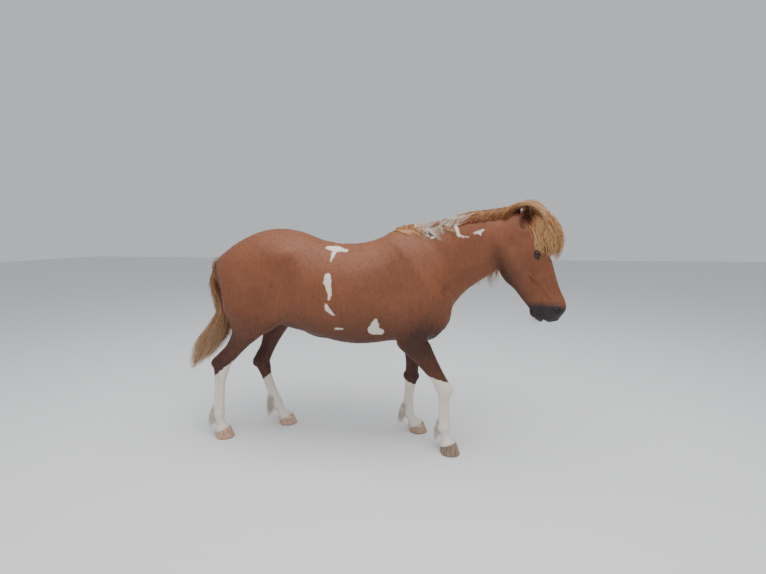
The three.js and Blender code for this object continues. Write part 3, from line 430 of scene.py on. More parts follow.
HEAD_LOW, HEAD_HIGH = [-60, -140, -240], [660, 140, 130]
for s in (-1, 1):
    # Gluteal, hamstring, thigh, shoulder blade, upper arm, breast
    muscle((-230, s * 112, 1215), (-730, s * 112, 1085), 150, 98, 70)
    muscle((-560, s * 135, 1230), (-640, s * 145, 790), 108, 82, 70)
    muscle((-330, s * 158, 1160), (-430, s * 165, 780), 95, 66, 60)
    muscle((400, s * 96, 1330), (640, s * 148, 930), 110, 62, 90)
    muscle((370, s * 150, 1000), (570, s * 160, 760), 100, 66, 60)
    muscle((700, s * 75, 960), (560, s * 85, 750), 85, 72, 45)
# The sheath
form(spindle((-215, 0, 752), (-55, 0, 716), 34, 40), 45, [-260, -60, 650], [-10, 60, 800])
form(strip(SKULL), 25, HEAD_LOW, HEAD_HIGH, head)
form(strip(JAW), 25, HEAD_LOW, HEAD_HIGH, head)

# Ears: where each one grows, which way its tip points and which way it opens
EAR_LENGTH = 132
EARS = {
    "right": {"base": (88, -56, 12), "tip": (-0.93, -0.22, 0.29), "open": (0.1, -0.9, 0.42)},
    "left": {"base": (70, 56, 30), "tip": (-0.38, 0.12, 0.92), "open": (0.5, 0.75, 0.2)},
}
EYE = (236, 72, 36)
EYE_RADIUS = 20
for s, ear in ((-1, EARS["right"]), (1, EARS["left"])):
    base, tip = np.array(ear["base"], float), np.array(ear["tip"], float)
    form(spindle(base - 40 * tip, base + 16 * tip, 30, 30), 24, HEAD_LOW, HEAD_HIGH, head)
    form(spindle((196, s * 62, 60), (268, s * 62, 58), 20, 24), 22, HEAD_LOW, HEAD_HIGH, head)
    form(spindle((318, s * 64, -12), (396, s * 47, 12), 11, 12), 14, HEAD_LOW, HEAD_HIGH, head)
    form(spindle((530, s * 34, 54), (590, s * 26, 40), 30, 22), 18, HEAD_LOW, HEAD_HIGH, head)
plain_forms = list(forms)

# Finer forms that only the skin carries. The body's lie in the tables' frame.
for s in (-1, 1):
    # The blade's spine, the back of the arm, the point of the shoulder, the forearm's two halves
    muscle((430, s * 150, 1290), (610, s * 176, 1010), 24, 26, 40)
    muscle((420, s * 176, 1120), (540, s * 186, 850), 62, 34, 40)
    muscle((640, s * 120, 960), (690, s * 118, 880), 34, 30, 34)
    # The groove along the neck, and the flank's hollow before the stifle
    form(spindle((660, s * 82 - 40, 1010), (930, s * 64 - 130, 1190), 15, 15), 34,
         [600, -330, 960], [990, 130, 1240], None, True)
    form(spindle((-250, s * 262, 1180), (-330, s * 262, 930), 46, 26), 60,
         [-400, -320, 860], [-160, 320, 1240], None, True)
    # The point of the hip
    muscle((-250, s * 186, 1262), (-350, s * 180, 1210), 30, 34, 80)

# Legs: bones, sinews and joints, named by the joint they lie at
for legs, middle_bumps in ((FORE, ((22, 30, 30), (-34, 24, 20))), (HIND, ((-44, 26, 30), (22, 24, 22)))):
    for leg in legs.values():
        a, m, f = (np.array(leg["joints"][k], float) for k in (1, 2, 3))
        down = unit(f - m)
        ahead = unit(np.cross([0, 1, 0], down)) * -1
        out = np.array([0, math.copysign(1, m[1]), 0])
        # The sinew behind the cannon stands clear of the bone by a shallow groove on each side
        for way in (-1, 1):
            top = m + 60 * down + way * 24 * out - 8 * ahead
            low = f - 46 * down + way * 25 * out - 8 * ahead
            box_low, box_high = np.minimum(top, low) - 26, np.maximum(top, low) + 26
            form(spindle(top, low, 9, 8), 12, box_low, box_high, None, True)
        # The bones of the knee or hock
        for reach, deep, wide in middle_bumps:
            p = m + reach * ahead
            form(spindle(p - 26 * down, p + 26 * down, deep, wide), 16, p - 60, p + 60)
        # The two small pads behind the fetlock
        for way in (-1, 1):
            p = f + way * 15 * out - 30 * ahead
            form(spindle(p - 20 * down, p + 18 * down, 14, 13), 14, p - 40, p + 40)

# From the tables' millimetres to the part's metres: the right eye's ball is the same in both
eye_low, eye_high = (np.array(c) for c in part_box("eye_right"))
SHIFT = (eye_low + eye_high) / 2 - head.world((EYE[0], -EYE[1], EYE[2])) / 1000


def metres(p):
    return np.asarray(p, float) / 1000 + SHIFT


def surface_net(field, low, high, cell):
    """The surface of a field as points and quads, on a grid that is only read near the surface."""
    low, high = np.array(low, float), np.array(high, float)
    n = np.ceil((high - low) / cell).astype(int) + 1
    block = 5
    blocks = -(-n // block)
    centres = np.stack(np.meshgrid(*(np.arange(b) for b in blocks), indexing="ij"), -1).reshape(-1, 3)
    middle = low + (centres * block + (block - 1) / 2) * cell
    coarse = field(middle)
    values = np.repeat(np.repeat(np.repeat(coarse.reshape(blocks), block, 0), block, 1), block, 2)
    values = values[: n[0], : n[1], : n[2]].astype(np.float32)
    near = centres[np.abs(coarse) < block * cell * 1.25]
    inner = np.stack(np.meshgrid(*(np.arange(block),) * 3, indexing="ij"), -1).reshape(-1, 3)
    for some in np.array_split(near, max(1, len(near) // 4000)):
        at = (some[:, None] * block + inner).reshape(-1, 3)
        at = at[(at < n).all(axis=1)]
        values[tuple(at.T)] = field(low + at * cell)
    inside = values < 0
    count = sum(
        inside[i : n[0] - 1 + i, j : n[1] - 1 + j, k : n[2] - 1 + k].astype(np.int8)
        for i in (0, 1) for j in (0, 1) for k in (0, 1)
    )
    cells = np.argwhere((count > 0) & (count < 8))
    index = np.full(n - 1, -1, np.int64)
    index[tuple(cells.T)] = np.arange(len(cells))
    total = np.zeros((len(cells), 3))
    crossings = np.zeros(len(cells))
    for axis in range(3):
        u, v = (axis + 1) % 3, (axis + 2) % 3
        for du in (0, 1):
            for dv in (0, 1):
                a = np.zeros(3, int)
                a[u], a[v] = du, dv
                b = a.copy()
                b[axis] = 1
                va, vb = values[tuple((cells + a).T)], values[tuple((cells + b).T)]
                m = (va < 0) != (vb < 0)
                t = va[m] / (va[m] - vb[m])
                place = np.repeat(a[None].astype(float), m.sum(), 0)
                place[:, axis] = t
                total[m] += place
                crossings[m] += 1
    points = low + (cells + total / crossings[:, None]) * cell
    quads = []
    for axis in range(3):
        u, v = (axis + 1) % 3, (axis + 2) % 3
        step = np.zeros(3, int)
        step[axis] = 1
        here = np.argwhere(inside[: n[0] - step[0], : n[1] - step[1], : n[2] - step[2]]
                           != inside[step[0] :, step[1] :, step[2] :])
        ring = []
        for du, dv in ((0, 0), (-1, 0), (-1, -1), (0, -1)):
            c = here.copy()
            c[:, u] += du
            c[:, v] += dv
            ring.append(index[tuple(c.T)])
        q = np.stack(ring, 1)
        flip = ~inside[tuple(here.T)]
        q[flip] = q[flip][:, ::-1]
        quads.append(q)
    return points, np.concatenate(quads)


def slope_of(field, p, h=1.0):
    return np.stack([field(p + h * e) - field(p - h * e) for e in np.eye(3)], 1) / (2 * h)


def onto(field, p, rounds, most=6.0):
    for _ in range(rounds):
        g = slope_of(field, p)
        g2 = np.maximum((g * g).sum(1), 0.05)
        p = p - g * (np.clip(field(p), -most, most) / g2)[:, None]
    return p


def mesh_object(name, points, faces):
    mesh = bpy.data.meshes.new(name)
    mesh.from_pydata([tuple(p) for p in points], [], [tuple(f) for f in faces])
    mesh.validate()
    obj = bpy.data.objects.new(name, mesh)
    bpy.context.scene.collection.objects.link(obj)
    mesh.polygons.foreach_set("use_smooth", [True] * len(mesh.polygons))
    return obj


# Head forms that only the skin carries, in the head's frame
LIDS = {
    "upper": {"corner": (1.02, 0.42, 0.04), "middle": (0, 0.72, 0.72), "thick": 5.4},
    "lower": {"corner": (1.02, 0.42, 0.0), "middle": (0, 0.76, -0.62), "thick": 4.6},
}
NOSTRIL = (554, 44, 50)
MOUTH = [(502, 36, -20), (526, 36, -26), (554, 34, -31), (578, 26, -33), (596, 12, -34)]


def onto_head(points):
    """Head frame points moved onto the flesh."""
    return head.local(onto(flesh, head.world(np.array(points, float)), 4, 20))


def head_form(field, soft, points, reach, hollow=False):
    points = np.array(points, float)
    form(field, soft, points.min(0) - reach, points.max(0) + reach, head, hollow)


for s in (-1, 1):
    def at(u, lat, v):
        return (u, s * lat, v)

    # Cheek plate, the long muscle to the nostril, the veins of the face, the hollow over the eye
    cheek = [at(170, 66, -70), at(300, 66, -120)]
    head_form(spindle(*cheek, 62, 16), 20, cheek, 90)
    for path, radius in (
        ([at(330, 66, -34), at(372, 58, -8), at(420, 48, 16), at(480, 44, 34)], 5.0),
        ([at(352, 62, -20), at(392, 55, -36), at(440, 42, -50)], 3.6),
        ([at(262, 78, 6), at(300, 73, 2), at(336, 66, -6)], 3.2),
    ):
        path = onto_head(path)
        head_form(cord_of(path, [radius] * len(path)), 14, path, 24)
    pit = [at(168, 70, 70), at(206, 66, 78)]
    head_form(spindle(*pit, 14, 16), 16, pit, 40, True)
    centre = np.array(at(*EYE), float)
    for name, lid in LIDS.items():
        path = []
        for t in np.linspace(-1, 1, 13):
            bend = 1 - t * t
            c, m = lid["corner"], lid["middle"]
            way = unit([c[0] * t, s * lerp(c[1], m[1], bend), lerp(c[2], m[2], bend)])
            path.append(centre + way * (EYE_RADIUS + 1.0))
        head_form(cord_of(path, [lid["thick"]] * 13), 5, path, 12)
        if name == "upper":
            crease = [centre + (q - centre) * 1.42 + np.array([0, 0, 5.0]) for q in path[2:-2]]
            head_form(cord_of(onto_head(crease), [2.2] * len(crease)), 5, crease, 14, True)
    head_form(lambda q, c=centre: np.linalg.norm(q - c, axis=1) - EYE_RADIUS - 0.4, 1.2, [centre], 30, True)
    # The nostril: a soft rim that is open at its lower back, round a deep comma
    rim = [
        at(NOSTRIL[0] + 19 * math.cos(a), NOSTRIL[1] + 6, NOSTRIL[2] + 14 * math.sin(a))
        for a in np.radians(np.linspace(-150, 150, 13))
    ]
    rim = onto_head(rim)
    head_form(cord_of(rim, [3.0] + [4.6] * 11 + [3.0]), 7, rim, 14)
    u, lat, v = NOSTRIL
    hole = [at(u - 13, lat + 10, v - 9), at(u + 12, lat - 2, v + 6)]
    head_form(spindle(*hole, 9, 17), 4, hole, 26, True)
mouth_line = [(u, -lat, v) for u, lat, v in MOUTH] + list(reversed(MOUTH))
mouth_line = onto_head(resample(mouth_line, 3))
head_form(cord_of(mouth_line, [2.6] * len(mouth_line)), 4, mouth_line, 12, True)
chin = [(526, 0, -84), (570, 0, -80)]
head_form(spindle(*chin, 16, 27), 16, chin, 40)


# The skin
SKIN_CELL = 10.0


def coated(p):
    return flesh(p) + COAT_DEPTH


points, quads = surface_net(
    lambda p: flesh(p, plain_forms) + COAT_DEPTH, (-900, -360, -10), (1420, 340, 1540), SKIN_CELL
)
skin = mesh_object("skin", points, quads)
work = bmesh.new()
work.from_mesh(skin.data)


def settle(inside, field, rounds, share):
    """Evens out a part of the net and puts it on a field."""
    work.verts.index_update()
    work.verts.ensure_lookup_table()
    co = np.array([v.co for v in work.verts])
    near = inside(co)
    a, b = np.array([[e.verts[0].index, e.verts[1].index] for e in work.edges]).T
    n = np.maximum(np.bincount(np.r_[a, b], minlength=len(co)), 1)[near, None]
    for _ in range(rounds):
        mean = np.stack([np.bincount(np.r_[a, b], np.r_[co[b, k], co[a, k]], len(co)) for k in range(3)], 1)
        co[near] = onto(field, lerp(co[near], mean[near] / n, share), 2)
    for i in np.flatnonzero(near):
        work.verts[i].co = co[i]


def finer(inside):
    """Splits the edges whose two ends lie inside a region."""
    work.verts.ensure_lookup_table()
    m = inside(np.array([v.co for v in work.verts]))
    chosen = [e for e in work.edges if m[e.verts[0].index] and m[e.verts[1].index]]
    bmesh.ops.subdivide_edges(work, edges=chosen, cuts=1, use_grid_fill=True)
    work.verts.index_update()
    settle(inside, coated, 2, 0.35)


def in_head(p):
    q = head.local(p)
    return (q[:, 0] > 10) & (q[:, 0] * 0.69 + q[:, 2] * 0.72 > 10) & (np.abs(q[:, 1]) < 130) & (q[:, 2] < 130)


def in_face(p):
    q = head.local(p)
    q[:, 1] = np.abs(q[:, 1])
    eye = (np.abs(q - (EYE[0] + 6, EYE[1] + 4, EYE[2] + 4)) < (46, 40, 40)).all(1)
    nostril = (np.abs(q - NOSTRIL) < (36, 34, 32)).all(1)
    mouth = (q[:, 0] > 490) & (q[:, 2] < 0) & (q[:, 2] > -60)
    cheek = (np.abs(q - (370, 56, -4)) < (122, 30, 60)).all(1)
    return eye | nostril | mouth | cheek


def in_legs(p):
    return (p[:, 2] < 640) & (np.abs(p[:, 1]) > 20)


settle(lambda p: p[:, 2] > -1e9, coated, 2, 0.5)
finer(in_legs)
finer(in_head)
finer(in_face)
work.to_mesh(skin.data)
work.free()
skin.data.polygons.foreach_set("use_smooth", [True] * len(skin.data.polygons))
table_places = np.empty(len(skin.data.vertices) * 3)
skin.data.vertices.foreach_get("co", table_places)
table_places = table_places.reshape(-1, 3)
skin.data.vertices.foreach_set("co", metres(table_places).ravel())
skin.data.update()
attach(skin, "root")
nodes_of_flesh = ["torso"]
for leg in ("foreleg_right", "foreleg_left", "hindleg_right", "hindleg_left"):
    nodes_of_flesh += [leg + "_upper", leg + "_lower"]
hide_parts(*nodes_of_flesh)


# Markings. Each is a line of places, x, z and half width, on the side it names.
WHITE_MARKS = [
    ("right", [(742, 1452, 17), (747, 1426, 13), (758, 1398, 9), (768, 1368, 8)]
     + [(800, 1357, 5), (822, 1359, 3)]),
    ("right", [(850, 1379, 3), (880, 1384, 9), (904, 1398, 4)]),
    ("right", [(880, 1384, 8), (893, 1368, 3)]),
    ("right", [(640, 1400, 4), (640, 1376, 8), (620, 1356, 8), (602, 1350, 3)]),
    ("right", [(520, 1384, 4), (556, 1380, 9), (590, 1364, 5)]),
    ("right", [(-30, 1292, 8), (28, 1284, 15), (100, 1272, 7)]),
    ("right", [(26, 1280, 15), (20, 1248, 11), (14, 1212, 4)]),
    ("right", [(4, 1126, 18), (6, 1096, 26), (14, 1060, 17), (24, 1024, 12), (18, 992, 6)]),
    ("right", [(0, 956, 9), (10, 932, 14), (30, 912, 9), (48, 900, 4)]),
    ("right", [(50, 810, 7), (92, 811, 5)]),
    ("right", [(292, 868, 10), (284, 836, 24), (276, 806, 34), (310, 790, 22)]),
    ("left", [(40, 1330, 34), (0, 1262, 30), (-40, 1180, 22), (-30, 1120, 12)]),
    ("left", [(160, 880, 20), (200, 820, 44), (260, 780, 26)]),
    ("left", [(620, 1330, 22), (640, 1270, 30), (700, 1210, 14)]),
]
# Where white begins on each leg: a place in front and a place behind, both x and z
WHITE_LEGS = {
    ("fore", "right"): ((742, 470), (628, 512)),
    ("fore", "left"): ((512, 352), (424, 392)),
    ("hind", "right"): ((-664, 552), (-778, 462)),
    ("hind", "left"): ((-508, 404), (-600, 330)),
}


def to_line(p, line):
    """How far places lie outside a line of widening spots, negative within."""
    best = np.full(len(p), 1e3)
    line = np.array(line, float)
    for a, b in zip(line[:-1], line[1:]):
        ab = b[:2] - a[:2]
        t = np.clip(((p - a[:2]) @ ab) / (ab @ ab), 0, 1)
        d = np.linalg.norm(p - a[:2] - t[:, None] * ab, axis=1) - lerp(a[2], b[2], t)
        best = np.minimum(best, d)
    return best


def white_edge(p):
    """How far places lie outside the white, in millimetres, negative within."""
    best = np.full(len(p), 200.0)
    middle = np.interp(p[:, 0], [r[0] for r in NECK], [r[4] for r in NECK])
    for name, line in WHITE_MARKS:
        facing = p[:, 1] < middle + 12 if name == "right" else p[:, 1] > middle - 6
        best = np.where(facing, np.minimum(best, to_line(p[:, [0, 2]], line)), best)
    for (kind, side), (front, back) in WHITE_LEGS.items():
        leg = LEGS[kind, side]["joints"]
        (x0, z0), (x1, z1) = back, front
        line = z0 + (z1 - z0) * (p[:, 0] - x0) / (x1 - x0)
        own = (np.abs(p[:, 1] - leg[2][1]) < 110) & (np.abs(p[:, 0] - (leg[2][0] + leg[3][0]) / 2) < 260)
        own &= (p[:, 0] > 0) == (kind == "fore")
        best = np.where(own & (p[:, 2] < 640), np.minimum(best, (p[:, 2] - line) * 0.8), best)
    return best


def muzzle_share(p):
    """1 on the dark muzzle, fading to 0 up the face; also dark inside the ears and round the eyes."""
    q = head.local(p)
    edge = np.interp(q[:, 2], [-100, -61, -21, 18, 59, 83, 110], [462, 470, 476, 490, 496, 520, 538])
    close = (np.abs(q[:, 1]) < 120) & (np.abs(q[:, 2]) < 160) & (q[:, 0] < 680)
    share = np.clip((q[:, 0] - edge) / 46, 0, 1) * close
    for s in (-1, 1):
        eye = np.linalg.norm((q - (EYE[0], s * EYE[1], EYE[2])) / (1.25, 1, 0.9), axis=1)
        share = np.maximum(share, 0.85 * np.clip((33 - eye) / 12, 0, 1))
    return np.where(q[:, 0] > -20, share, 0)


def depth_of_tone(p):
    """-1 where a painted highlight makes the coat pale along the back, up to 1 where painted shade makes it
    deep below and behind: low on the body, on the throat under the jaw, at the breast and in the groin.
    """
    q = head.local(p)
    # Painted highlight high on the back and painted shade low on the body, by height alone
    tone = np.interp(p[:, 2], [560, 720, 900, 1100, 1250, 1400], [0.9, 0.75, 0.25, 0.0, -0.35, -0.75])
    # Painted shadow of the jaw on the throat
    throat_shade = np.clip((-q[:, 2] - 30) / 120, 0, 1) * np.clip((q[:, 0] - 20) / 120, 0, 1)
    throat_shade = throat_shade * np.clip((q[:, 2] + 270) / 90, 0, 1) * np.clip((700 - q[:, 0]) / 80, 0, 1)
    tone = tone + 0.95 * throat_shade
    tone = np.where(q[:, 0] > 40, np.maximum(tone, 0.12), tone)
    # Painted shade low on the breast
    breast = np.exp(-(((p[:, 0] - 560) / 120) ** 2) - ((p[:, 2] - 760) / 110) ** 2)
    tone = tone + 0.55 * breast
    # Painted shade in the groin
    groin_shade = np.exp(-(((p[:, 0] + 300) / 150) ** 2) - ((p[:, 2] - 745) / 90) ** 2)
    return np.maximum(tone, 1.2 * groin_shade)


def carry(obj, place, **more):
    """Writes the coat's own values on a mesh, read from places in the tables' frame."""
    values = {"white": white_edge(place), "dark": muzzle_share(place), "tone": depth_of_tone(place)}
    values.update(more)
    for name, value in values.items():
        layer = obj.data.attributes.new(name, "FLOAT", "POINT")
        layer.data.foreach_set("value", np.asarray(value, np.float32))


carry(skin, table_places)


class Value:
    """A socket that can be added to, multiplied and so on."""

    def __init__(self, paint, socket):
        self.paint, self.socket = paint, socket

    def math(self, kind, first, second):
        return self.paint.node("ShaderNodeMath", {"operation": kind}, {0: first, 1: second})

    def __add__(self, other):
        return self.math("ADD", self, other)

    __radd__ = __add__

    def __sub__(self, other):
        return self.math("SUBTRACT", self, other)

    def __rsub__(self, other):
        return self.math("SUBTRACT", other, self)

    def __mul__(self, other):
        return self.math("MULTIPLY", self, other)

    __rmul__ = __mul__

    def __truediv__(self, other):
        return self.math("DIVIDE", self, other)


class Paint:
    """A material under construction."""

    def __init__(self, name, rough, coat=0.0, specular=0.5):
        self.material = bpy.data.materials.new(name)
        self.material.use_nodes = True
        self.tree = self.material.node_tree
        self.shader = self.tree.nodes["Principled BSDF"]
        self.shader.inputs["Roughness"].default_value = rough
        self.shader.inputs["Coat Weight"].default_value = coat
        self.shader.inputs["Specular IOR Level"].default_value = specular

    def node(self, kind, settings=None, inputs=None, out=0):
        made = self.tree.nodes.new(kind)
        for name, value in (settings or {}).items():
            setattr(made, name, value)
        for key, value in (inputs or {}).items():
            if isinstance(value, Value):
                self.tree.links.new(value.socket, made.inputs[key])
            else:
                made.inputs[key].default_value = value
        return Value(self, made.outputs[out])

    def own(self, name):
        return self.node("ShaderNodeAttribute", {"attribute_name": name}, out=2)

    def place(self):
        return self.node("ShaderNodeTexCoord", out=3)

    def noise(self, scale, detail=3.0, stretch=None):
        where = self.place()
        if stretch:
            where = self.node("ShaderNodeMapping", {}, {0: where, 3: stretch})
        values = {"Vector": where, "Scale": scale, "Detail": detail, "Roughness": 0.55}
        return self.node("ShaderNodeTexNoise", {}, values)

    def between(self, value, low, high):
        return self.node("ShaderNodeMapRange", {}, {0: value, 1: low, 2: high, 3: 0.0, 4: 1.0})

    def mix(self, first, second, share):
        return self.node("ShaderNodeMix", {"data_type": "RGBA"}, {0: share, 6: first, 7: second}, 2)

    def finish(self, colour, bump=None, strength=0.3, distance=0.002):
        self.tree.links.new(colour.socket, self.shader.inputs["Base Color"])
        if bump is not None:
            values = {"Strength": strength, "Distance": distance, "Height": bump}
            raised = self.node("ShaderNodeBump", {}, values)
            self.tree.links.new(raised.socket, self.shader.inputs["Normal"])
        return self.material


def srgb(r, g, b):
    """A colour given as on a screen, made linear."""
    parts = [c / 255 for c in (r, g, b)]
    return tuple(c / 12.92 if c <= 0.04045 else ((c + 0.055) / 1.055) ** 2.4 for c in parts) + (1.0,)


# Pale chestnut is both pale patches and a painted highlight along the back; deep chestnut is both deep
# patches and painted shade below
PALE_CHESTNUT_AND_HIGHLIGHT = srgb(160, 107, 79)
CHESTNUT = srgb(132, 79, 53)
DEEP_CHESTNUT_AND_SHADE = srgb(66, 37, 26)
WHITE_HAIR = srgb(226, 216, 202)
MUZZLE_DARK = srgb(48, 42, 42)
FLAXEN = srgb(204, 148, 98)
FLAXEN_PALE = srgb(228, 188, 138)
FLAXEN_RED = srgb(138, 80, 46)


def coat_colour(paint, fleck):
    """The chestnut, its pale and deep parts (random patches, a painted highlight along the back and painted
    shade below), the dark muzzle and the white, alike on skin and hair.
    """
    patches = paint.noise(5.0, 4.0)
    grain = paint.noise(60.0, 3.0, (1.0, 1.0, 0.35))
    # The tone read here is painted highlight and painted shade, to which random patches and grain are added
    tone = paint.own("tone") + (patches - 0.5) * 0.7 + (grain - 0.5) * fleck
    pale = paint.between(tone, -0.1, -1.0)
    deep = paint.between(tone, 0.0, 1.0)
    colour = paint.mix(paint.mix(CHESTNUT, PALE_CHESTNUT_AND_HIGHLIGHT, pale), DEEP_CHESTNUT_AND_SHADE, deep)
    dark = paint.own("dark") + (paint.noise(28.0, 3.0) - 0.5) * 0.35 * (1 - paint.own("dark"))
    colour = paint.mix(colour, MUZZLE_DARK, paint.between(dark, 0.2, 1.0))
    ragged = paint.own("white") + (paint.noise(34.0, 4.0) - 0.5) * 16 + (paint.noise(170.0, 3.0) - 0.5) * 12
    return paint.mix(WHITE_HAIR, colour, paint.between(ragged, -2.5, 2.5))


coat = Paint("coat", 0.55, specular=0.32)
hairs = coat.noise(330.0, 2.0, (0.35, 1.0, 0.22)) + coat.noise(22.0, 4.0) * 0.9
coat.finish(coat_colour(coat, 0.5), hairs, 0.38, 0.0022)
skin.data.materials.append(coat.material)


def outward(obj):
    """Turns all faces of a closed mesh outward."""
    bm = bmesh.new()
    bm.from_mesh(obj.data)
    bmesh.ops.recalc_face_normals(bm, faces=bm.faces)
    bm.to_mesh(obj.data)
    bm.free()


def closed_loft(name, rings):
    """A mesh through rings of equal count in the tables' frame, with one face at each end."""
    n = len(rings[0])
    points = metres(np.concatenate(rings))
    faces = []
    for i in range(len(rings) - 1):
        for j in range(n):
            k = (j + 1) % n
            faces.append((i * n + j, i * n + k, (i + 1) * n + k, (i + 1) * n + j))
    faces.append(tuple(range(n))[::-1])
    faces.append(tuple(range((len(rings) - 1) * n, len(rings) * n)))
    obj = mesh_object(name, points, faces)
    outward(obj)
    return obj


# Ears: a thin cupped shell, rolled at its foot and open towards the front
EAR_ROWS = [
    (-0.16, 27, 27, 175, 0.3),
    (0, 27, 26, 165, 0.55),
    (0.12, 29, 28, 150, 0.86),
    (0.3, 33, 28, 128, 0.91),
    (0.5, 34, 25, 112, 0.91),
    (0.7, 28, 19, 100, 0.9),
    (0.88, 16, 10, 92, 0.85),
    (1, 2.5, 2.5, 90, 0.3),
]
EAR_SIDE = 18
ear_axes = {}
for name, ear in EARS.items():
    up = unit(ear["tip"])
    side = unit(np.cross(up, ear["open"]))
    axes = np.array([np.cross(side, up), side, up])
    ear_axes[name] = axes
    rings = []
    for share, half, deep, wrap, hollowed in resample(EAR_ROWS, 4):
        def arc(scale):
            a = np.radians(np.linspace(-wrap, wrap, EAR_SIDE + 1))
            x = -np.cos(a) * deep * scale + 7 * share * share
            return np.stack([x, np.sin(a) * half * scale, np.full(len(a), share * EAR_LENGTH * 0.985)], 1)

        section = np.concatenate([arc(0.97), arc(hollowed * 0.97)[::-1]])
        rings.append(head.world(np.array(ear["base"]) + section @ axes))
    shell = closed_loft("ear_" + name, rings)
    tables = np.concatenate(rings)
    inner = np.tile(np.r_[np.zeros(EAR_SIDE + 1), np.ones(EAR_SIDE + 1)], len(rings))
    carry(shell, tables, dark=inner * 0.9, tone=np.full(len(tables), 0.35))
    shell.data.materials.append(coat.material)
    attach(shell, "root")
    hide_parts("ear_" + name)

# Eyes: a dark ball with a long pupil across it
eye_paint = Paint("eye_glass", 0.12, 0.35, 0.4)
across, upward = eye_paint.own("across"), eye_paint.own("upward")
pupil = (across * across) / 64.0 + (upward * upward) / 14.0
ring = (across * across) / 170.0 + (upward * upward) / 150.0
colour = eye_paint.mix(srgb(5, 4, 5), srgb(34, 20, 12), eye_paint.between(pupil, 0.8, 1.3))
colour = eye_paint.mix(colour, srgb(18, 12, 10), eye_paint.between(ring, 0.8, 1.1))
eye_paint.finish(colour)
for name, s in (("right", -1), ("left", 1)):
    bm = bmesh.new()
    bmesh.ops.create_uvsphere(bm, u_segments=48, v_segments=32, radius=1)
    centre = np.array((EYE[0], s * EYE[1], EYE[2]), float)
    out = unit(np.array([0.12, s, 0.2]))
    level = np.cross(out, [0, 0, 1])
    turn = np.array([unit(level), unit(np.cross(level, out)), out])
    for v in bm.verts:
        q = np.array(v.co)
        bulge = 1 + 0.03 * max(0, q[2] - 0.6) / 0.4
        v.co = metres(head.world(centre + (q * EYE_RADIUS * bulge * 0.985) @ turn))
    mesh = bpy.data.meshes.new("eyeball_" + name)
    bm.to_mesh(mesh)
    bm.free()
    ball = bpy.data.objects.new("eyeball_" + name, mesh)
    bpy.context.scene.collection.objects.link(ball)
    mesh.polygons.foreach_set("use_smooth", [True] * len(mesh.polygons))
    outward(ball)
    co = np.array([v.co for v in mesh.vertices])
    local = (head.local((co - SHIFT) * 1000) - centre) @ turn.T
    for key, value in (("across", local[:, 0]), ("upward", local[:, 1])):
        mesh.attributes.new(key, "FLOAT", "POINT").data.foreach_set("value", value.astype(np.float32))
    mesh.materials.append(eye_paint.material)
    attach(ball, "root")
    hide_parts("eye_" + name)

# Hooves: a wall with fine rings, round at its rim, worn flat below
HOOF_CORONET = (53, 49, 51)
HOOF_SOLE = (66, 54, 60)
SOLE_AHEAD = 16
HOOF_SIDES = 56
# How far up each ring lies, from the sole to the coronet
HOOF_SHARES = (0.0, 0.0, 0.03, 0.1, 0.22, 0.34, 0.46, 0.58, 0.7, 0.82, 0.92, 0.97, 1.0)
HORN_COLOURS = {
    ("fore", "right"): (srgb(150, 126, 104), srgb(104, 86, 72)),
    ("fore", "left"): (srgb(190, 160, 134), srgb(140, 112, 92)),
    ("hind", "right"): (srgb(206, 166, 138), srgb(160, 122, 98)),
    ("hind", "left"): (srgb(206, 172, 146), srgb(156, 124, 102)),
}
for (kind, side), axes in feet.items():
    leg = LEGS[kind, side]
    px, pz = leg["pastern"]
    rings = []
    for share in HOOF_SHARES:
        tuck = 0.95 if len(rings) == 0 else 1.0 - 0.012 * (share == 0) - 0.05 * max(0, share - 0.94) / 0.06
        a = 2 * math.pi * np.arange(HOOF_SIDES) / HOOF_SIDES
        c, s = np.cos(a), np.sin(a)
        top = np.stack([c * np.where(c > 0, HOOF_CORONET[0], HOOF_CORONET[1]), s * HOOF_CORONET[2]], 1)
        sole = np.stack([c * np.where(c > 0, HOOF_SOLE[0], HOOF_SOLE[1]), s * HOOF_SOLE[2]], 1)
        grown = 1 + 0.006 * math.sin(share * 40)
        x = lerp(px + SOLE_AHEAD + sole[:, 0] * tuck * 0.99, px + top[:, 0] * tuck * 0.99, share)
        y = lerp(sole[:, 1], top[:, 1], share) * tuck * grown * 0.985
        high = pz + math.tan(CORONET_SLOPE) * top[:, 0] - 0.5
        low = np.full(HOOF_SIDES, FLOOR - leg["joints"][3][2] + 0.2)
        z = lerp(low, high, share)
        rings.append(axes.world(np.stack([x, y, z], 1)))
    name = "%sleg_%s_hoof" % (kind, side)
    hoof = closed_loft("horn_" + name, rings)
    share = np.repeat(HOOF_SHARES, HOOF_SIDES)
    hoof.data.attributes.new("height", "FLOAT", "POINT").data.foreach_set("value", share.astype(np.float32))
    pale, dark = HORN_COLOURS[kind, side]
    horn = Paint("horn_" + name, 0.42, 0.1)
    streaks = horn.noise(90.0, 3.0, (1.0, 1.0, 0.12))
    height = horn.own("height")
    bands = horn.node("ShaderNodeMath", {"operation": "SINE"}, {0: height * 58.0 + horn.noise(14.0) * 5.0})
    colour = horn.mix(pale, dark, horn.between(streaks + bands * 0.08, 0.38, 0.72))
    soiled = horn.between(height + horn.noise(40.0) * 0.25, 0.34, 0.1)
    colour = horn.mix(colour, srgb(132, 116, 98), soiled * 0.75)
    horn.finish(colour, bands * 0.5 + streaks, 0.35, 0.0014)
    hoof.data.materials.append(horn.material)
    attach(hoof, "root")
    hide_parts(name)


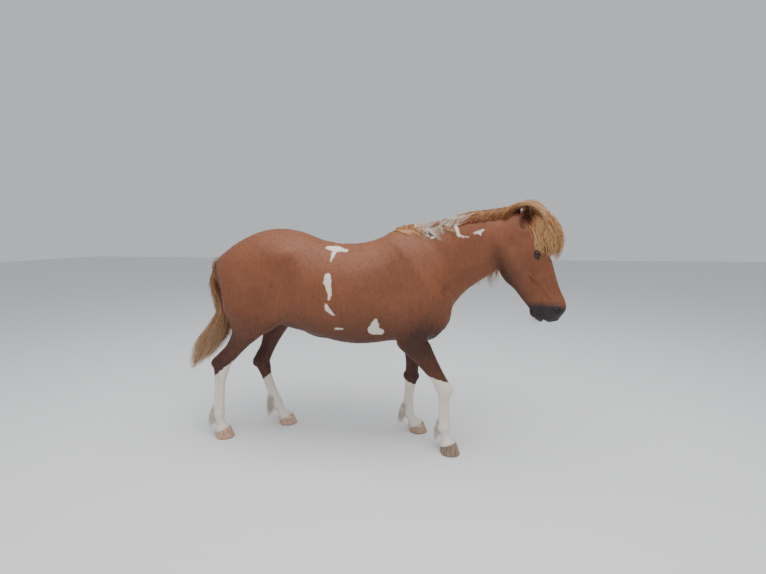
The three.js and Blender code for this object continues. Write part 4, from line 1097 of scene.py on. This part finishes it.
def strand_tree():
    """Turns strands, which are edges with a radius at each point, into solid flat fibres."""
    tree = bpy.data.node_groups.new("fibres", "GeometryNodeTree")
    for name, kind, value in (
        ("Geometry", "Geometry", None), ("Thickness", "Float", 1.0), ("Flatness", "Float", 0.5),
        ("Sides", "Int", 3), ("Seed", "Int", 1), ("Finish", "Material", None),
    ):
        socket = tree.interface.new_socket(name, in_out="INPUT", socket_type="NodeSocket" + kind)
        if value is not None:
            socket.default_value = value
    tree.interface.new_socket("Geometry", in_out="OUTPUT", socket_type="NodeSocketGeometry")
    given = tree.nodes.new("NodeGroupInput").outputs
    result = tree.nodes.new("NodeGroupOutput")

    def node(kind, inputs, out, **settings):
        made = tree.nodes.new(kind)
        for name, value in settings.items():
            setattr(made, name, value)
        for key, value in inputs.items():
            if isinstance(value, bpy.types.NodeSocket):
                tree.links.new(value, made.inputs[key])
            else:
                made.inputs[key].default_value = value
        return made.outputs[out]

    def named(name):
        return node("GeometryNodeInputNamedAttribute", {"Name": name}, "Attribute", data_type="FLOAT")

    curve = node("GeometryNodeMeshToCurve", {"Mesh": given["Geometry"]}, "Curve")
    values = {0: named("radius_share"), 1: given["Thickness"]}
    radius = node("ShaderNodeMath", values, 0, operation="MULTIPLY")
    curve = node("GeometryNodeSetCurveRadius", {"Curve": curve, "Radius": radius}, "Curve")
    values = {"Max": TURN, "ID": named("strand"), "Seed": given["Seed"]}
    turn = node("FunctionNodeRandomValue", values, "Value", data_type="FLOAT")
    curve = node("GeometryNodeSetCurveTilt", {"Curve": curve, "Tilt": turn}, "Curve")
    ring = node("GeometryNodeCurvePrimitiveCircle", {"Radius": 1.0, "Resolution": given["Sides"]}, "Curve")
    values = {"Name": "about", "Geometry": ring, "Value": node("GeometryNodeSplineParameter", {}, "Factor")}
    ring = node("GeometryNodeStoreNamedAttribute", values, "Geometry", data_type="FLOAT")
    shape = node("ShaderNodeCombineXYZ", {"X": 1.0, "Y": given["Flatness"], "Z": 1.0}, 0)
    ring = node("GeometryNodeTransform", {"Geometry": ring, "Scale": shape}, "Geometry")
    values = {"Curve": curve, "Profile Curve": ring, "Fill Caps": True}
    values["Scale"] = node("GeometryNodeInputRadius", {}, 0)
    solid = node("GeometryNodeCurveToMesh", values, "Mesh")
    solid = node("GeometryNodeSetShadeSmooth", {"Geometry": solid}, "Geometry")
    solid = node("GeometryNodeRealizeInstances", {"Geometry": solid}, "Geometry")
    solid = node("GeometryNodeSetMaterial", {"Geometry": solid, "Material": given["Finish"]}, "Geometry")
    tree.links.new(solid, result.inputs["Geometry"])
    return tree


# Hair. Each strand is a row of places, and the tree makes it solid
fibres = strand_tree()
BAKE_PATCH = 0.003
FIBRE_FLATNESS = 0.5
FIBRE_SIDES = 3
FIBRE_SEED = 3


def unwrap(p):
    """A place in the tables' frame on an unwrap of the skin: strips round the trunk, neck and head,
    and one strip for each leg."""
    axis_x = [-800, 200, 600, 1060, 1300]
    middle_y = np.interp(p[:, 0], axis_x, [0, 0, -26, -180, -260])
    middle_z = np.interp(p[:, 0], axis_x, [1100, 1010, 1190, 1330, 1100])
    around = np.arctan2(p[:, 1] - middle_y, p[:, 2] - middle_z) / (2 * math.pi) + 0.5
    u, v = 0.01 + 0.94 * np.clip((p[:, 0] + 1150) / 2520, 0, 1), 0.4 + 0.58 * around
    for i, leg in enumerate(LEGS.values()):
        m, f = leg["joints"][2], leg["joints"][3]
        x = np.interp(p[:, 2], [f[2], m[2]], [f[0], m[0]])
        own = (p[:, 2] < 560) & (np.abs(p[:, 1] - m[1]) < 110) & (np.abs(p[:, 0] - x) < 150)
        turned = np.arctan2(p[:, 1] - m[1], p[:, 0] - x) / (2 * math.pi) + 0.5
        u = np.where(own, 0.01 + 0.24 * i + 0.22 * turned, u)
        v = np.where(own, 0.01 + 0.34 * np.clip(p[:, 2] / 560, 0, 1), v)
    return u, v


def strands(name, places, radius, material, nodes, shade=None, extra_white=None):
    """Makes one piece of hair. Places are (strand, point, 3) in the tables' frame, the radius is in
    millimetres, and extra white is how far each strand lies outside white of its own."""
    count, steps = places.shape[:2]
    places = places.copy()
    places[..., 2] = np.maximum(places[..., 2], FLOOR + 2.5)
    mesh = bpy.data.meshes.new(name)
    mesh.vertices.add(count * steps)
    mesh.vertices.foreach_set("co", metres(places.reshape(-1, 3)).ravel())
    first = (np.arange(count)[:, None] * steps + np.arange(steps - 1)).ravel()
    mesh.edges.add(len(first))
    mesh.edges.foreach_set("vertices", np.stack([first, first + 1], 1).ravel())
    roots = np.repeat(places[:, 0], steps, axis=0)
    u, v = unwrap(roots)
    along = np.tile(np.linspace(0, 1, steps), count)
    shade = chance.rand(count) if shade is None else shade
    obj = bpy.data.objects.new(name, mesh)
    bpy.context.scene.collection.objects.link(obj)
    white = white_edge(places[:, 0])
    if extra_white is not None:
        white = np.minimum(white, extra_white)
    carry(
        obj, roots, white=np.repeat(white, steps), shade=np.repeat(shade, steps), along=along,
        radius_share=np.broadcast_to(radius, (count, steps)).ravel() / 1000,
        strand=np.repeat(np.arange(count), steps), root_u=u, root_v=v,
    )
    mod = obj.modifiers.new("fibres", "NODES")
    mod.node_group = fibres
    sockets = {i.name: i.identifier for i in fibres.interface.items_tree if i.in_out == "INPUT"}
    values = {"Thickness": 1.0, "Flatness": FIBRE_FLATNESS, "Sides": FIBRE_SIDES}
    values.update({"Seed": FIBRE_SEED, "Finish": material})
    for key, value in values.items():
        mod[sockets[key]] = value
    shaped = obj.evaluated_get(bpy.context.evaluated_depsgraph_get())
    solid = bpy.data.meshes.new_from_object(shaped)
    obj.modifiers.clear()
    obj.data = solid
    bpy.data.meshes.remove(mesh)
    solid.name = name

    def read(key):
        values = np.empty(len(solid.vertices), np.float32)
        solid.attributes[key].data.foreach_get("value", values)
        return values

    corner = np.empty(len(solid.loops), np.int32)
    solid.loops.foreach_get("vertex_index", corner)
    u, v = read("root_u") + BAKE_PATCH * read("about"), read("root_v") + BAKE_PATCH * read("along")
    patch = np.stack([u, v], 1)
    solid.uv_layers.new(name="OFBake").data.foreach_set("uv", patch[corner].ravel().astype(np.float32))
    for key in ("radius_share", "strand", "root_u", "root_v", "about"):
        solid.attributes.remove(solid.attributes[key])
    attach(obj, "root")
    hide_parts(*nodes)


def hair_paint(name, root, middle, tip, fleck=0.5, gap_shade=0.55):
    paint = Paint(name, 0.45, specular=0.35)
    shade, along = paint.own("shade"), paint.own("along")
    colour = paint.mix(root, middle, paint.between(along + (shade - 0.5) * fleck, 0.0, 0.45))
    colour = paint.mix(colour, tip, paint.between(along + (shade - 0.5) * 0.9, 0.5, 1.15))
    colour = paint.mix(colour, root, paint.between(shade, 0.86, 0.98) * 0.7)
    # Dark streaks of painted shade where gaps between locks would lie
    gap_shade_noise = paint.noise(90.0, 2.0)
    colour = paint.mix(colour, srgb(92, 52, 30), paint.between(gap_shade_noise, 0.5, 0.75) * gap_shade)
    white = paint.own("white") + (shade - 0.5) * 46
    return paint.finish(paint.mix(WHITE_HAIR, colour, paint.between(white, -6.0, 14.0)))


def lock_shade(which, locks, own):
    """A shade from 0 to 1 for each strand, partly its own and partly its lock's."""
    return own * chance.rand(len(which)) + (1 - own) * chance.rand(locks)[which]


def away_from(around):
    """Level directions at angles about the upright."""
    return np.stack([np.cos(around), np.sin(around), 0 * around], 1)


def taper(steps, root, belly, tip):
    """Radii in millimetres along a strand."""
    t = np.linspace(0, 1, steps)
    return np.interp(t, [0, 0.12, 0.6, 0.9, 1], [root, belly, belly * 0.85, belly * 0.5, tip])


def wavy(places, strength, waves):
    """Small waves that grow towards the tips."""
    count, steps = places.shape[:2]
    t = np.linspace(0, 1, steps)[None, :, None]
    phase = chance.rand(count, 1, 3) * TURN
    rate = waves * (0.6 + 0.8 * chance.rand(count, 1, 3))
    return places + strength * t * np.sin(phase + rate * TURN * t) * (0.4 + 1.2 * chance.rand(count, 1, 1))


def along_rows(rows, place):
    """Values of a table's rows at broken row numbers."""
    rows = np.asarray(rows, float)
    if rows.ndim == 1:
        rows = rows[:, None]
    fine = resample(rows, 6)
    s = np.clip(np.asarray(place) * 6, 0, len(fine) - 1.0001)
    k = s.astype(int)
    t = (s - k)[..., None]
    return fine[k] * (1 - t) + fine[k + 1] * t


mane_paint = hair_paint("mane_hair", FLAXEN_RED, FLAXEN, FLAXEN_PALE)
ruff_paint = hair_paint("ruff_hair", srgb(128, 76, 48), srgb(182, 126, 82), srgb(216, 168, 122))
tail_paint = hair_paint("tail_hair", srgb(120, 66, 40), srgb(186, 138, 98), srgb(222, 190, 152))
feather_colours = (srgb(222, 212, 198), srgb(226, 214, 198), srgb(218, 202, 178))
pale_paint = hair_paint("feather_hair", *feather_colours, 0.3, 0.0)

# Forelock
FORELOCK_OUTER = [(10, 26), (-4, 84), (22, 132), (80, 168), (150, 182), (222, 172), (300, 120)]
FORELOCK_INNER = [(34, 42), (46, 74), (82, 88), (124, 96), (170, 101), (212, 103), (250, 102)]
FORELOCK_SPREAD = [28, 38, 52, 64, 72, 74, 64]
STEPS = 13
count, locks = 2300, 70
lock_spread = np.clip(chance.normal(0, 0.55, locks), -1.15, 1.15)
lock_depth = chance.rand(locks) ** 0.9
lock_length = 0.66 + 0.34 * chance.rand(locks)
which = chance.randint(0, locks, count)
t = np.linspace(0, 1, STEPS)[None]
loose = chance.normal(0, 1, (count, 1))
spread = lock_spread[which][:, None] + loose * (0.13 - 0.07 * t)
depth = np.clip(lock_depth[which][:, None] + chance.normal(0, 1, (count, 1)) * (0.16 - 0.09 * t), 0.0, 1.0)
depth = depth * np.sqrt(np.maximum(1 - 0.55 * spread**2, 0.1)) * 0.97
depth = depth - 0.25 * (1 - lock_depth[which][:, None]) * t
length = lock_length[which][:, None] * (0.86 + 0.22 * chance.rand(count, 1))
place = np.clip(t * length, 0, 1) * 6
outer, inner = along_rows(FORELOCK_OUTER, place), along_rows(FORELOCK_INNER, place)
wide = along_rows(FORELOCK_SPREAD, place)[..., 0]
q = inner + (outer - inner) * depth[..., None]
fallen = q[..., 1] - 30 * spread**2 * np.minimum(1, 2 * t)
head_places = np.stack([q[..., 0], spread * wide, fallen], -1)
forelock = head.world(wavy(head_places, 11.0, 1.2))


def off_flesh(places, gap):
    """Pushes the points of strands out of the flesh, all but their roots."""
    shape = places.shape
    p = places.reshape(-1, 3).copy()
    for _ in range(3):
        near = flesh(p) < gap
        if not near.any():
            break
        g = slope_of(flesh, p[near], 2.0)
        d = flesh(p[near])
        p[near] += unit(g) * (gap - d)[:, None]
    p = p.reshape(shape)
    p[:, 0] = places[:, 0]
    return p


forelock = off_flesh(forelock, 2.5)
strands("forelock", forelock, taper(STEPS, 1.2, 1.7, 0.5), mane_paint, ["head"],
        shade=lock_shade(which, locks, 0.5))


def from_rows(name, count, locks, rows, loose, steps, waves, paint, nodes, radius=1.6):
    """Strands in locks along the rows of a table in the head's frame. Each row is along, aside and
    up, and how far the hair spreads there in the same three."""
    lock = chance.normal(0, 0.62, (locks, 1, 3))
    which = chance.randint(0, locks, count)
    lengths = 0.7 + 0.3 * chance.rand(locks)
    t = np.linspace(0, 1, steps)[None] * (lengths[which] * (0.85 + 0.15 * chance.rand(count)))[:, None]
    row = along_rows(rows, t * (len(rows) - 1))
    own = lock[which] + loose * chance.normal(0, 1, (count, 1, 3)) * (1 - 0.5 * t[..., None])
    path = head.world(wavy(row[..., :3] + own * row[..., 3:], waves, 1.3))
    path = off_flesh(path, 2.5)
    strands(name, path, taper(steps, 1.1, radius, 0.45), paint, nodes,
            shade=lock_shade(which, locks, 0.5))


# Hair from behind the poll that sweeps forward over the near ear, and the fringe that falls
# beside it towards the eye
from_rows("poll_hair", 1000, 40, [
    (-12, -8, -74, 12, 20, 16),
    (-34, -12, -48, 12, 22, 16),
    (-52, -16, -12, 10, 26, 16),
    (-50, -22, 36, 10, 32, 16),
    (-26, -30, 82, 14, 38, 14),
    (18, -40, 114, 18, 40, 14),
    (72, -46, 126, 24, 42, 14),
], 0.4, 12, 6.0, mane_paint, ["head"])
from_rows("fringe", 420, 22, [
    (6, -16, 50, 12, 14, 8),
    (24, -34, 88, 12, 12, 8),
    (62, -62, 98, 12, 8, 8),
    (108, -75, 84, 14, 5, 10),
    (158, -80, 68, 18, 4, 12),
    (206, -82, 54, 24, 3, 14),
    (250, -82, 40, 30, 3, 16),
], 0.35, 12, 5.0, mane_paint, ["head"], 1.3)

# Mane: guides fall from the crest, and the strands lie between them
crest = resample([[r[0], r[4], r[1]] for r in NECK], 8)


def guides(count, start, end, side, lift, length, first, later, steps):
    """Hair that falls from the crest along a lie and rests on the flesh at a height over it."""
    s = np.linspace(start, end, count) * (len(crest) - 1)
    k = np.minimum(s.astype(int), len(crest) - 2)
    root = crest[k] + (crest[k + 1] - crest[k]) * (s - k)[:, None] + [0, side, 4]
    root = onto(flesh, root, 4, 20)
    way = np.repeat(unit(np.array(first, float))[None], count, 0)
    out = unit(slope_of(flesh, root, 2.0))
    path = [root - out * 8, root]
    p = root + out * 3
    for i in range(1, steps - 1):
        wish = unit(lerp(np.array(first, float), np.array(later, float), min(1, i * 2.2 / steps)))
        way = unit(way * 0.4 + wish * 0.6)
        p = p + way * length / (steps - 2)
        height = lerp(4, lift, min(1, i / 2.5))
        for _ in range(4):
            d = flesh(p)
            p = p + unit(slope_of(flesh, p, 2.0)) * np.maximum(height - d, 0)[:, None]
        way = unit(p - path[-1])
        path.append(p)
    return np.stack(path, 1)


def fall_between(count, locks, layers, steps, spread, tight):
    """Strands gathered in locks between the guides of two layers."""
    inner, outer = layers
    lock_s = (np.arange(locks) + chance.rand(locks)) / locks
    lock_h = chance.rand(locks)
    which = chance.randint(0, locks, count)
    t = np.linspace(0, 1, steps)[None]
    s = lock_s[which][:, None] + chance.normal(0, 1, (count, 1)) * spread * (1 - tight * t)
    h = np.clip(lock_h[which][:, None] + chance.normal(0, 0.2, (count, 1)) * (1 - 0.6 * t), 0, 1)
    g = np.clip(s, 0, 1) * (inner.shape[0] - 1.0001)
    length = (0.72 + 0.28 * chance.rand(locks)[which][:, None]) * (0.9 + 0.1 * chance.rand(count, 1))
    place = t * length * (inner.shape[1] - 1.0001)
    i, j = g.astype(int), place.astype(int)
    fi, fj = (g - i)[..., None], (place - j)[..., None]

    def read(layer):
        a = layer[i, j] * (1 - fj) + layer[i, j + 1] * fj
        b = layer[i + 1, j] * (1 - fj) + layer[i + 1, j + 1] * fj
        return a * (1 - fi) + b * fi

    return read(inner) * (1 - h[..., None]) + read(outer) * h[..., None], which


GUIDES = 26
MANE_STRANDS = 2000
MANE_LOCKS = 90
long_inner = guides(GUIDES, 0.05, 0.99, 20, 5, 640, (-0.1, 0.85, 0.3), (0.0, 0.03, -1), 16)
long_outer = guides(GUIDES, 0.05, 0.99, 2, 30, 680, (-0.1, 0.8, 0.6), (0.02, 0.03, -1), 16)
for part in range(2):
    places, which = fall_between(MANE_STRANDS, MANE_LOCKS, (long_inner, long_outer), 15, 0.012, 0.3)
    grown = np.clip(0.45 + (places[:, :1, 0:1] - 390) / 260, 0.45, 1)
    places = places[:, :1] + (places - places[:, :1]) * grown
    places = off_flesh(wavy(places, 9.0, 1.6), 2.5)
    strands("mane_%d" % part, places, taper(15, 1.2, 1.8, 0.5), mane_paint, ["neck"],
            shade=lock_shade(which, MANE_LOCKS, 0.4))

# The ruff along the crest on the near side: short hair that runs up and forward over the crest
count, locks, steps = 2500, 150, 8
lock_s = 0.05 + 0.97 * (np.arange(locks) + chance.rand(locks)) / locks
which = chance.randint(0, locks, count)
s = lock_s[which] + 0.010 * chance.normal(0, 1, count)
reach = (0.05 + 0.15 * chance.rand(locks))[which] * (0.8 + 0.4 * chance.rand(count))
low_edge = np.interp(s, [0, 0.3, 0.45, 0.7, 1], [-16, -34, -24, -38, -44])
side0 = low_edge * (0.35 + 0.65 * chance.rand(count)) * (0.7 + 0.45 * chance.rand(locks)[which])
t = np.linspace(0, 1, steps)[None]
place = np.clip(s[:, None] + reach[:, None] * t, 0, 1.1) * (len(crest) - 1)
k = np.minimum(place.astype(int), len(crest) - 2)
base = crest[k] + (crest[k + 1] - crest[k]) * (place - k)[..., None]
full = np.interp(s, [0, 0.3, 0.55, 1], [0.2, 1.1, 0.8, 1.05])[:, None]
height = ((4 + 40 * chance.rand(locks)[which]) * (0.6 + 0.5 * chance.rand(count)))[:, None] * full
over = (4 + 40 * chance.rand(locks))[which][:, None]
across = side0[:, None] * (1 - t) + over * t
rise = -(side0[:, None] ** 2) / 90 * (1 - t) + height * np.sin(np.clip(t * 2.2, 0, 2.2)) * 1.05
ruff = base + np.stack([np.zeros_like(across), across, rise], -1)
ruff = off_flesh(wavy(ruff, 8.0, 1.0), 1.5)
crest_white = np.abs(ruff[:, 0, 0] - 670) - 34
strands("ruff", ruff, taper(steps, 1.1, 1.6, 0.45), ruff_paint, ["neck"], extra_white=crest_white)

# Near-side hair at the foot of the mane, combed forward and down
count, locks = 1000, 46
lock_s = 0.44 * (np.arange(locks) + chance.rand(locks)) / locks
which = chance.randint(0, locks, count)
s = np.clip(lock_s[which] + 0.008 * chance.normal(0, 1, count), 0, 0.5)
place = s * (len(crest) - 1)
k = place.astype(int)
start = np.stack([0 * s, -10 + 12 * chance.rand(count), 6 + 0 * s], 1)
root = crest[k] + (crest[k + 1] - crest[k]) * (place - k)[:, None] + start
length = ((40 + 90 * chance.rand(locks))[which] * (0.8 + 0.3 * chance.rand(count)))[:, None]
ahead = 0.9 - 0.5 * chance.rand(locks)[which]
way = np.stack([ahead, -0.6 + 0 * s, -0.15 - 0.5 * chance.rand(locks)[which]], 1)
t = np.linspace(0, 1, 8)[None, :, None]
drape = root[:, None] + way[:, None] * length[:, None] * t + np.array([0, 0, 26.0]) * t * (1 - t) * 2
drape = off_flesh(wavy(drape, 7.0, 1.0), 1.5)
strands("withers_hair", drape, taper(8, 1.1, 1.5, 0.45), ruff_paint, ["neck"],
        extra_white=np.abs(root[:, 0] - 560) - 30)

# Tail: front and back edge in the side view, its middle and its spread to the side
TAIL_FRONT = [(-838, 1160), (-820, 1010), (-792, 890), (-776, 760), (-818, 640), (-900, 520)]
TAIL_BACK = [(-872, 1165), (-862, 1030), (-822, 905), (-905, 765), (-1030, 610), (-1118, 392)]
TAIL_SIDE = [4, 14, 34, 40, 36, 30]
TAIL_SPREAD = [20, 40, 48, 52, 50, 36]
for part in range(2):
    count, locks, steps = 1500, 46, 17
    lock_around = chance.rand(locks) * TURN
    lock_out = chance.rand(locks) ** 0.5
    lock_length = 0.74 + 0.26 * chance.rand(locks)
    which = chance.randint(0, locks, count)
    t = np.linspace(0, 1, steps)[None]
    out = lock_out[which][:, None] + chance.normal(0, 0.16, (count, 1)) * (1 - 0.55 * t)
    around = lock_around[which][:, None] + chance.normal(0, 0.3, (count, 1)) * (1 - 0.5 * t)
    back = 0.5 - 0.5 * out * np.cos(around)
    start = (0.02 + 0.75 * chance.rand(count, 1)) * (1 - 0.5 * np.clip(back[:, :1], 0, 1))
    place = start + (5 * lock_length[which][:, None] * (0.9 + 0.12 * chance.rand(count, 1)) - start) * t
    place = np.clip(place, 0, 5)
    front, rear = along_rows(TAIL_FRONT, place), along_rows(TAIL_BACK, place)
    aside, wide = along_rows(TAIL_SIDE, place)[..., 0], along_rows(TAIL_SPREAD, place)[..., 0]
    q = front + (rear - front) * np.clip(back, -0.05, 1.05)[..., None]
    tail = np.stack([q[..., 0], aside + out * np.sin(around) * wide, q[..., 1]], -1)
    dock = along_rows([(-812, 0, 1192), (-836, 2, 1140), (-848, 4, 1070), (-852, 6, 985)], place[:, :1] * 1.1)
    tail[:, 0] = dock[:, 0]
    tail[:, 1] = 0.5 * (dock[:, 0] + tail[:, 2])
    tail = off_flesh(wavy(tail, 10.0, 1.3), 2.0)
    strands("tail_%d" % part, tail, taper(steps, 1.5, 2.0, 0.5), tail_paint, ["tail"],
            shade=lock_shade(which, locks, 0.4))

# The dock inside the tail
DOCK = [(-808, 0, 1192), (-830, 2, 1140), (-841, 4, 1070), (-842, 6, 985), (-836, 8, 915)]
DOCK_RADII = [26, 24, 20, 15, 7]
rings = []
for p, r in zip(resample(DOCK, 3), resample([[r] for r in DOCK_RADII], 3)[:, 0]):
    a = 2 * math.pi * np.arange(20) / 20
    rings.append(p + np.stack([np.cos(a) * r, np.sin(a) * r, 0 * a], 1))
dock = closed_loft("dock", rings)
tables = np.concatenate(rings)
carry(dock, tables, tone=np.full(len(tables), 0.6))
dock.data.materials.append(coat.material)
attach(dock, "root")
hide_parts("tail")

# Short hair that covers the dock
count, steps = 1100, 9
place = chance.rand(count)
core = along_rows(DOCK, place * 4)
around = 2 * math.pi * chance.rand(count)
away = away_from(around)
root = core + away * np.interp(place * 4, range(5), DOCK_RADII)[:, None]
length = (90 + 110 * chance.rand(count))[:, None]
down = unit(along_rows(DOCK, np.clip(place + 0.1, 0, 1) * 4) - core + [0, 0, -6])
t = np.linspace(0, 1, steps)[None, :, None]
cover = root[:, None] + (down[:, None] * length[:, None] + away[:, None] * 10 * (1 - t)) * t
cover = off_flesh(wavy(cover, 6.0, 1.0), 1.5)
strands("dock_hair", cover, taper(steps, 1.1, 1.5, 0.5), tail_paint, ["tail"])

# Feather behind each fetlock, and a fringe round each coronet
for (kind, side), axes in feet.items():
    leg = LEGS[kind, side]
    count, steps = 620, 8
    around = np.radians(180 + 150 * (chance.rand(count) - 0.5))
    high = 62 - 90 * chance.rand(count)
    root = axes.world(np.stack([38 * np.cos(around) - 4, 34 * np.sin(around), high], 1))
    root = onto(flesh, root, 4, 20)
    away = axes.way(away_from(around))
    length = (24 + 84 * chance.rand(count) ** 1.3) * (0.5 + 0.5 * np.cos(around + math.pi) ** 2)
    length = length * np.interp(high, [-28, 62], [0.8, 1.1])
    path = [root - away * 3]
    way = unit(away * (0.25 + 0.3 * chance.rand(count))[:, None] + [0, 0, -1])
    p = root
    for i in range(1, steps):
        way = unit(way + unit(away * 0.1 + [0, 0, -1]) * 0.3)
        p = p + way * (length / (steps - 1))[:, None]
        path.append(p)
    feather = off_flesh(wavy(np.stack(path, 1), 9.0, 1.0), 1.2)
    strands("feather_%s_%s" % (kind, side), feather, taper(steps, 1.1, 1.4, 0.4), pale_paint,
            ["%sleg_%s_lower" % (kind, side)])
    count = 420
    around = 2 * math.pi * chance.rand(count)
    px, pz = leg["pastern"]
    c, s = np.cos(around), np.sin(around)
    low = axes.world(np.stack([px + 50 * c, 49 * s, pz + 18 * c + 14], 1))
    root = onto(flesh, low, 3, 12)
    away = axes.way(away_from(around))
    t = np.linspace(0, 1, 5)[None, :, None]
    length = (16 + 10 * chance.rand(count))[:, None, None]
    fringe = root[:, None] + (unit(away * 0.16 + [0, 0, -1])[:, None]) * length * t
    strands("coronet_%s_%s" % (kind, side), fringe, taper(5, 0.9, 1.0, 0.3), pale_paint,
            ["%sleg_%s_lower" % (kind, side)])

# Ear hair, lashes, and whiskers on the lips and chin
ear_paint = hair_paint("ear_hair", srgb(110, 66, 42), srgb(150, 98, 66), srgb(190, 140, 100))
for name, ear in EARS.items():
    axes = ear_axes[name]
    count = 500
    share = chance.rand(count) * 0.8
    a = np.radians((chance.rand(count) - 0.5) * 200)
    half = np.interp(share, [r[0] for r in EAR_ROWS], [r[1] for r in EAR_ROWS])
    deep = np.interp(share, [r[0] for r in EAR_ROWS], [r[2] for r in EAR_ROWS])
    ahead, aside = -np.cos(a) * deep * 0.84 + 7 * share**2, np.sin(a) * half * 0.84
    local = np.stack([ahead, aside, share * EAR_LENGTH], 1)
    way = np.stack([0.8 + 0 * a, -np.sin(a) * 0.25, 0.7 + 0 * a], 1)
    t = np.linspace(0, 1, 6)[None, :, None]
    length = (16 + 16 * chance.rand(count))[:, None, None]
    tuft = local[:, None] + way[:, None] * length * t
    strands("ear_hair_" + name, head.world(np.array(ear["base"]) + tuft @ axes), taper(6, 0.7, 0.8, 0.3),
            ear_paint, ["ear_" + name])
dark_paint = hair_paint("dark_hair", srgb(40, 32, 30), srgb(60, 46, 40), srgb(120, 96, 80))
lash = []
for s in (-1, 1):
    centre = np.array((EYE[0], s * EYE[1], EYE[2]), float)
    for t in np.linspace(-0.8, 0.8, 42):
        bend = 1 - t * t
        c, m = LIDS["upper"]["corner"], LIDS["upper"]["middle"]
        way = unit([c[0] * t, s * lerp(c[1], m[1], bend), lerp(c[2], m[2], bend)])
        root = centre + way * (EYE_RADIUS + 3)
        out = np.array([0.25 * t + 0.1, s * 1.0, 0.05])
        lash.append([root + out * 15 * k + np.array([0, 0, -4.5]) * k * k for k in np.linspace(0, 1, 5)])
for _ in range(90):
    spot = np.array([chance.uniform(505, 590), chance.uniform(-36, 36), chance.uniform(-80, -20)])
    out = unit(np.array([0.35, spot[1] * 0.02, -0.8]))
    root = head.local(onto(flesh, head.world(spot[None]), 4, 25))[0]
    length = chance.uniform(18, 42)
    lash.append([root + out * length * k for k in np.linspace(0, 1, 5)])
strands("lashes", head.world(np.array(lash)), taper(5, 0.5, 0.5, 0.2), dark_paint, ["head"])

# Short fur: small tufts that break the coat's outline, shortest on the face and legs
mesh = skin.data
mesh.calc_loop_triangles()
corners = np.empty(len(mesh.loop_triangles) * 3, np.int32)
mesh.loop_triangles.foreach_get("vertices", corners)
corners = table_places[corners.reshape(-1, 3)]
edge_a, edge_b = corners[:, 1] - corners[:, 0], corners[:, 2] - corners[:, 0]
across = np.cross(edge_a, edge_b)
area = np.linalg.norm(across, axis=1)
for part in range(2):
    count = 11000
    pick = chance.choice(len(area), count, p=area / area.sum())
    a, b = chance.rand(2, count, 1)
    turned = a + b > 1
    a, b = np.where(turned, 1 - a, a), np.where(turned, 1 - b, b)
    root = corners[pick, 0] + a * edge_a[pick] + b * edge_b[pick]
    normal = unit(across[pick])
    q = head.local(root)
    on_head = (q[:, 0] > 0) & (np.abs(q[:, 1]) < 130) & (q[:, 2] > -210) & (root[:, 0] > 1000)
    on_leg = root[:, 2] < 620
    lie = np.repeat([[-0.62, 0, -0.78]], count, 0)
    lie[on_leg] = (0, 0, -1)
    lie[on_head] = head.way((0.95, 0, -0.3))
    lie = unit(lie + 0.25 * chance.normal(0, 1, (count, 3)))
    lie = unit(lie - normal * (lie * normal).sum(1, keepdims=True))
    size = np.where(on_head, 6.0, np.where(on_leg, 8.0, 12.0)) * (0.6 + 0.8 * chance.rand(count))
    lift = (0.1 + 0.16 * chance.rand(count))[:, None]
    t = np.array([0, 0.5, 1.0])[None, :, None]
    raised = lie[:, None] * t + normal[:, None] * (lift[:, None] * t * (1.35 - 0.5 * t) - 0.06)
    fur = root[:, None] + raised * size[:, None, None]
    strands("fur_%d" % part, fur, np.array([0.75, 0.65, 0.25]), coat.material, ["torso"])

# Camera
camera = bpy.data.objects.new("camera", bpy.data.cameras.new("camera"))
bpy.context.scene.collection.objects.link(camera)
camera.data.sensor_width = 36
camera.data.lens = FOCAL_PIXELS / PICTURE_WIDTH * 36
camera.location = metres(CAMERA_PLACE)
camera.rotation_euler = (math.radians(90 - CAMERA_TIP), 0, math.radians(CAMERA_HEADING))
bpy.context.scene.camera = camera

# Floor and light
SKY_COLOUR = (0.9, 0.95, 1.0, 1)
SKY_STRENGTH = 0.62
KEY_POWER = 300
bpy.ops.mesh.primitive_plane_add(size=40)
floor = bpy.context.object
floor.name = "floor"
floor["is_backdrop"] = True
world = bpy.data.worlds.new("studio")
bpy.context.scene.world = world
world.use_nodes = True
world.node_tree.nodes["Background"].inputs[0].default_value = SKY_COLOUR
world.node_tree.nodes["Background"].inputs[1].default_value = SKY_STRENGTH
key = bpy.data.objects.new("key", bpy.data.lights.new("key", "AREA"))
bpy.context.scene.collection.objects.link(key)
key.data.energy = KEY_POWER
key.data.size = 5
key.location = (0.4, -1.2, 5.0)
key.rotation_euler = (math.radians(14), math.radians(5), 0)

low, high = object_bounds()
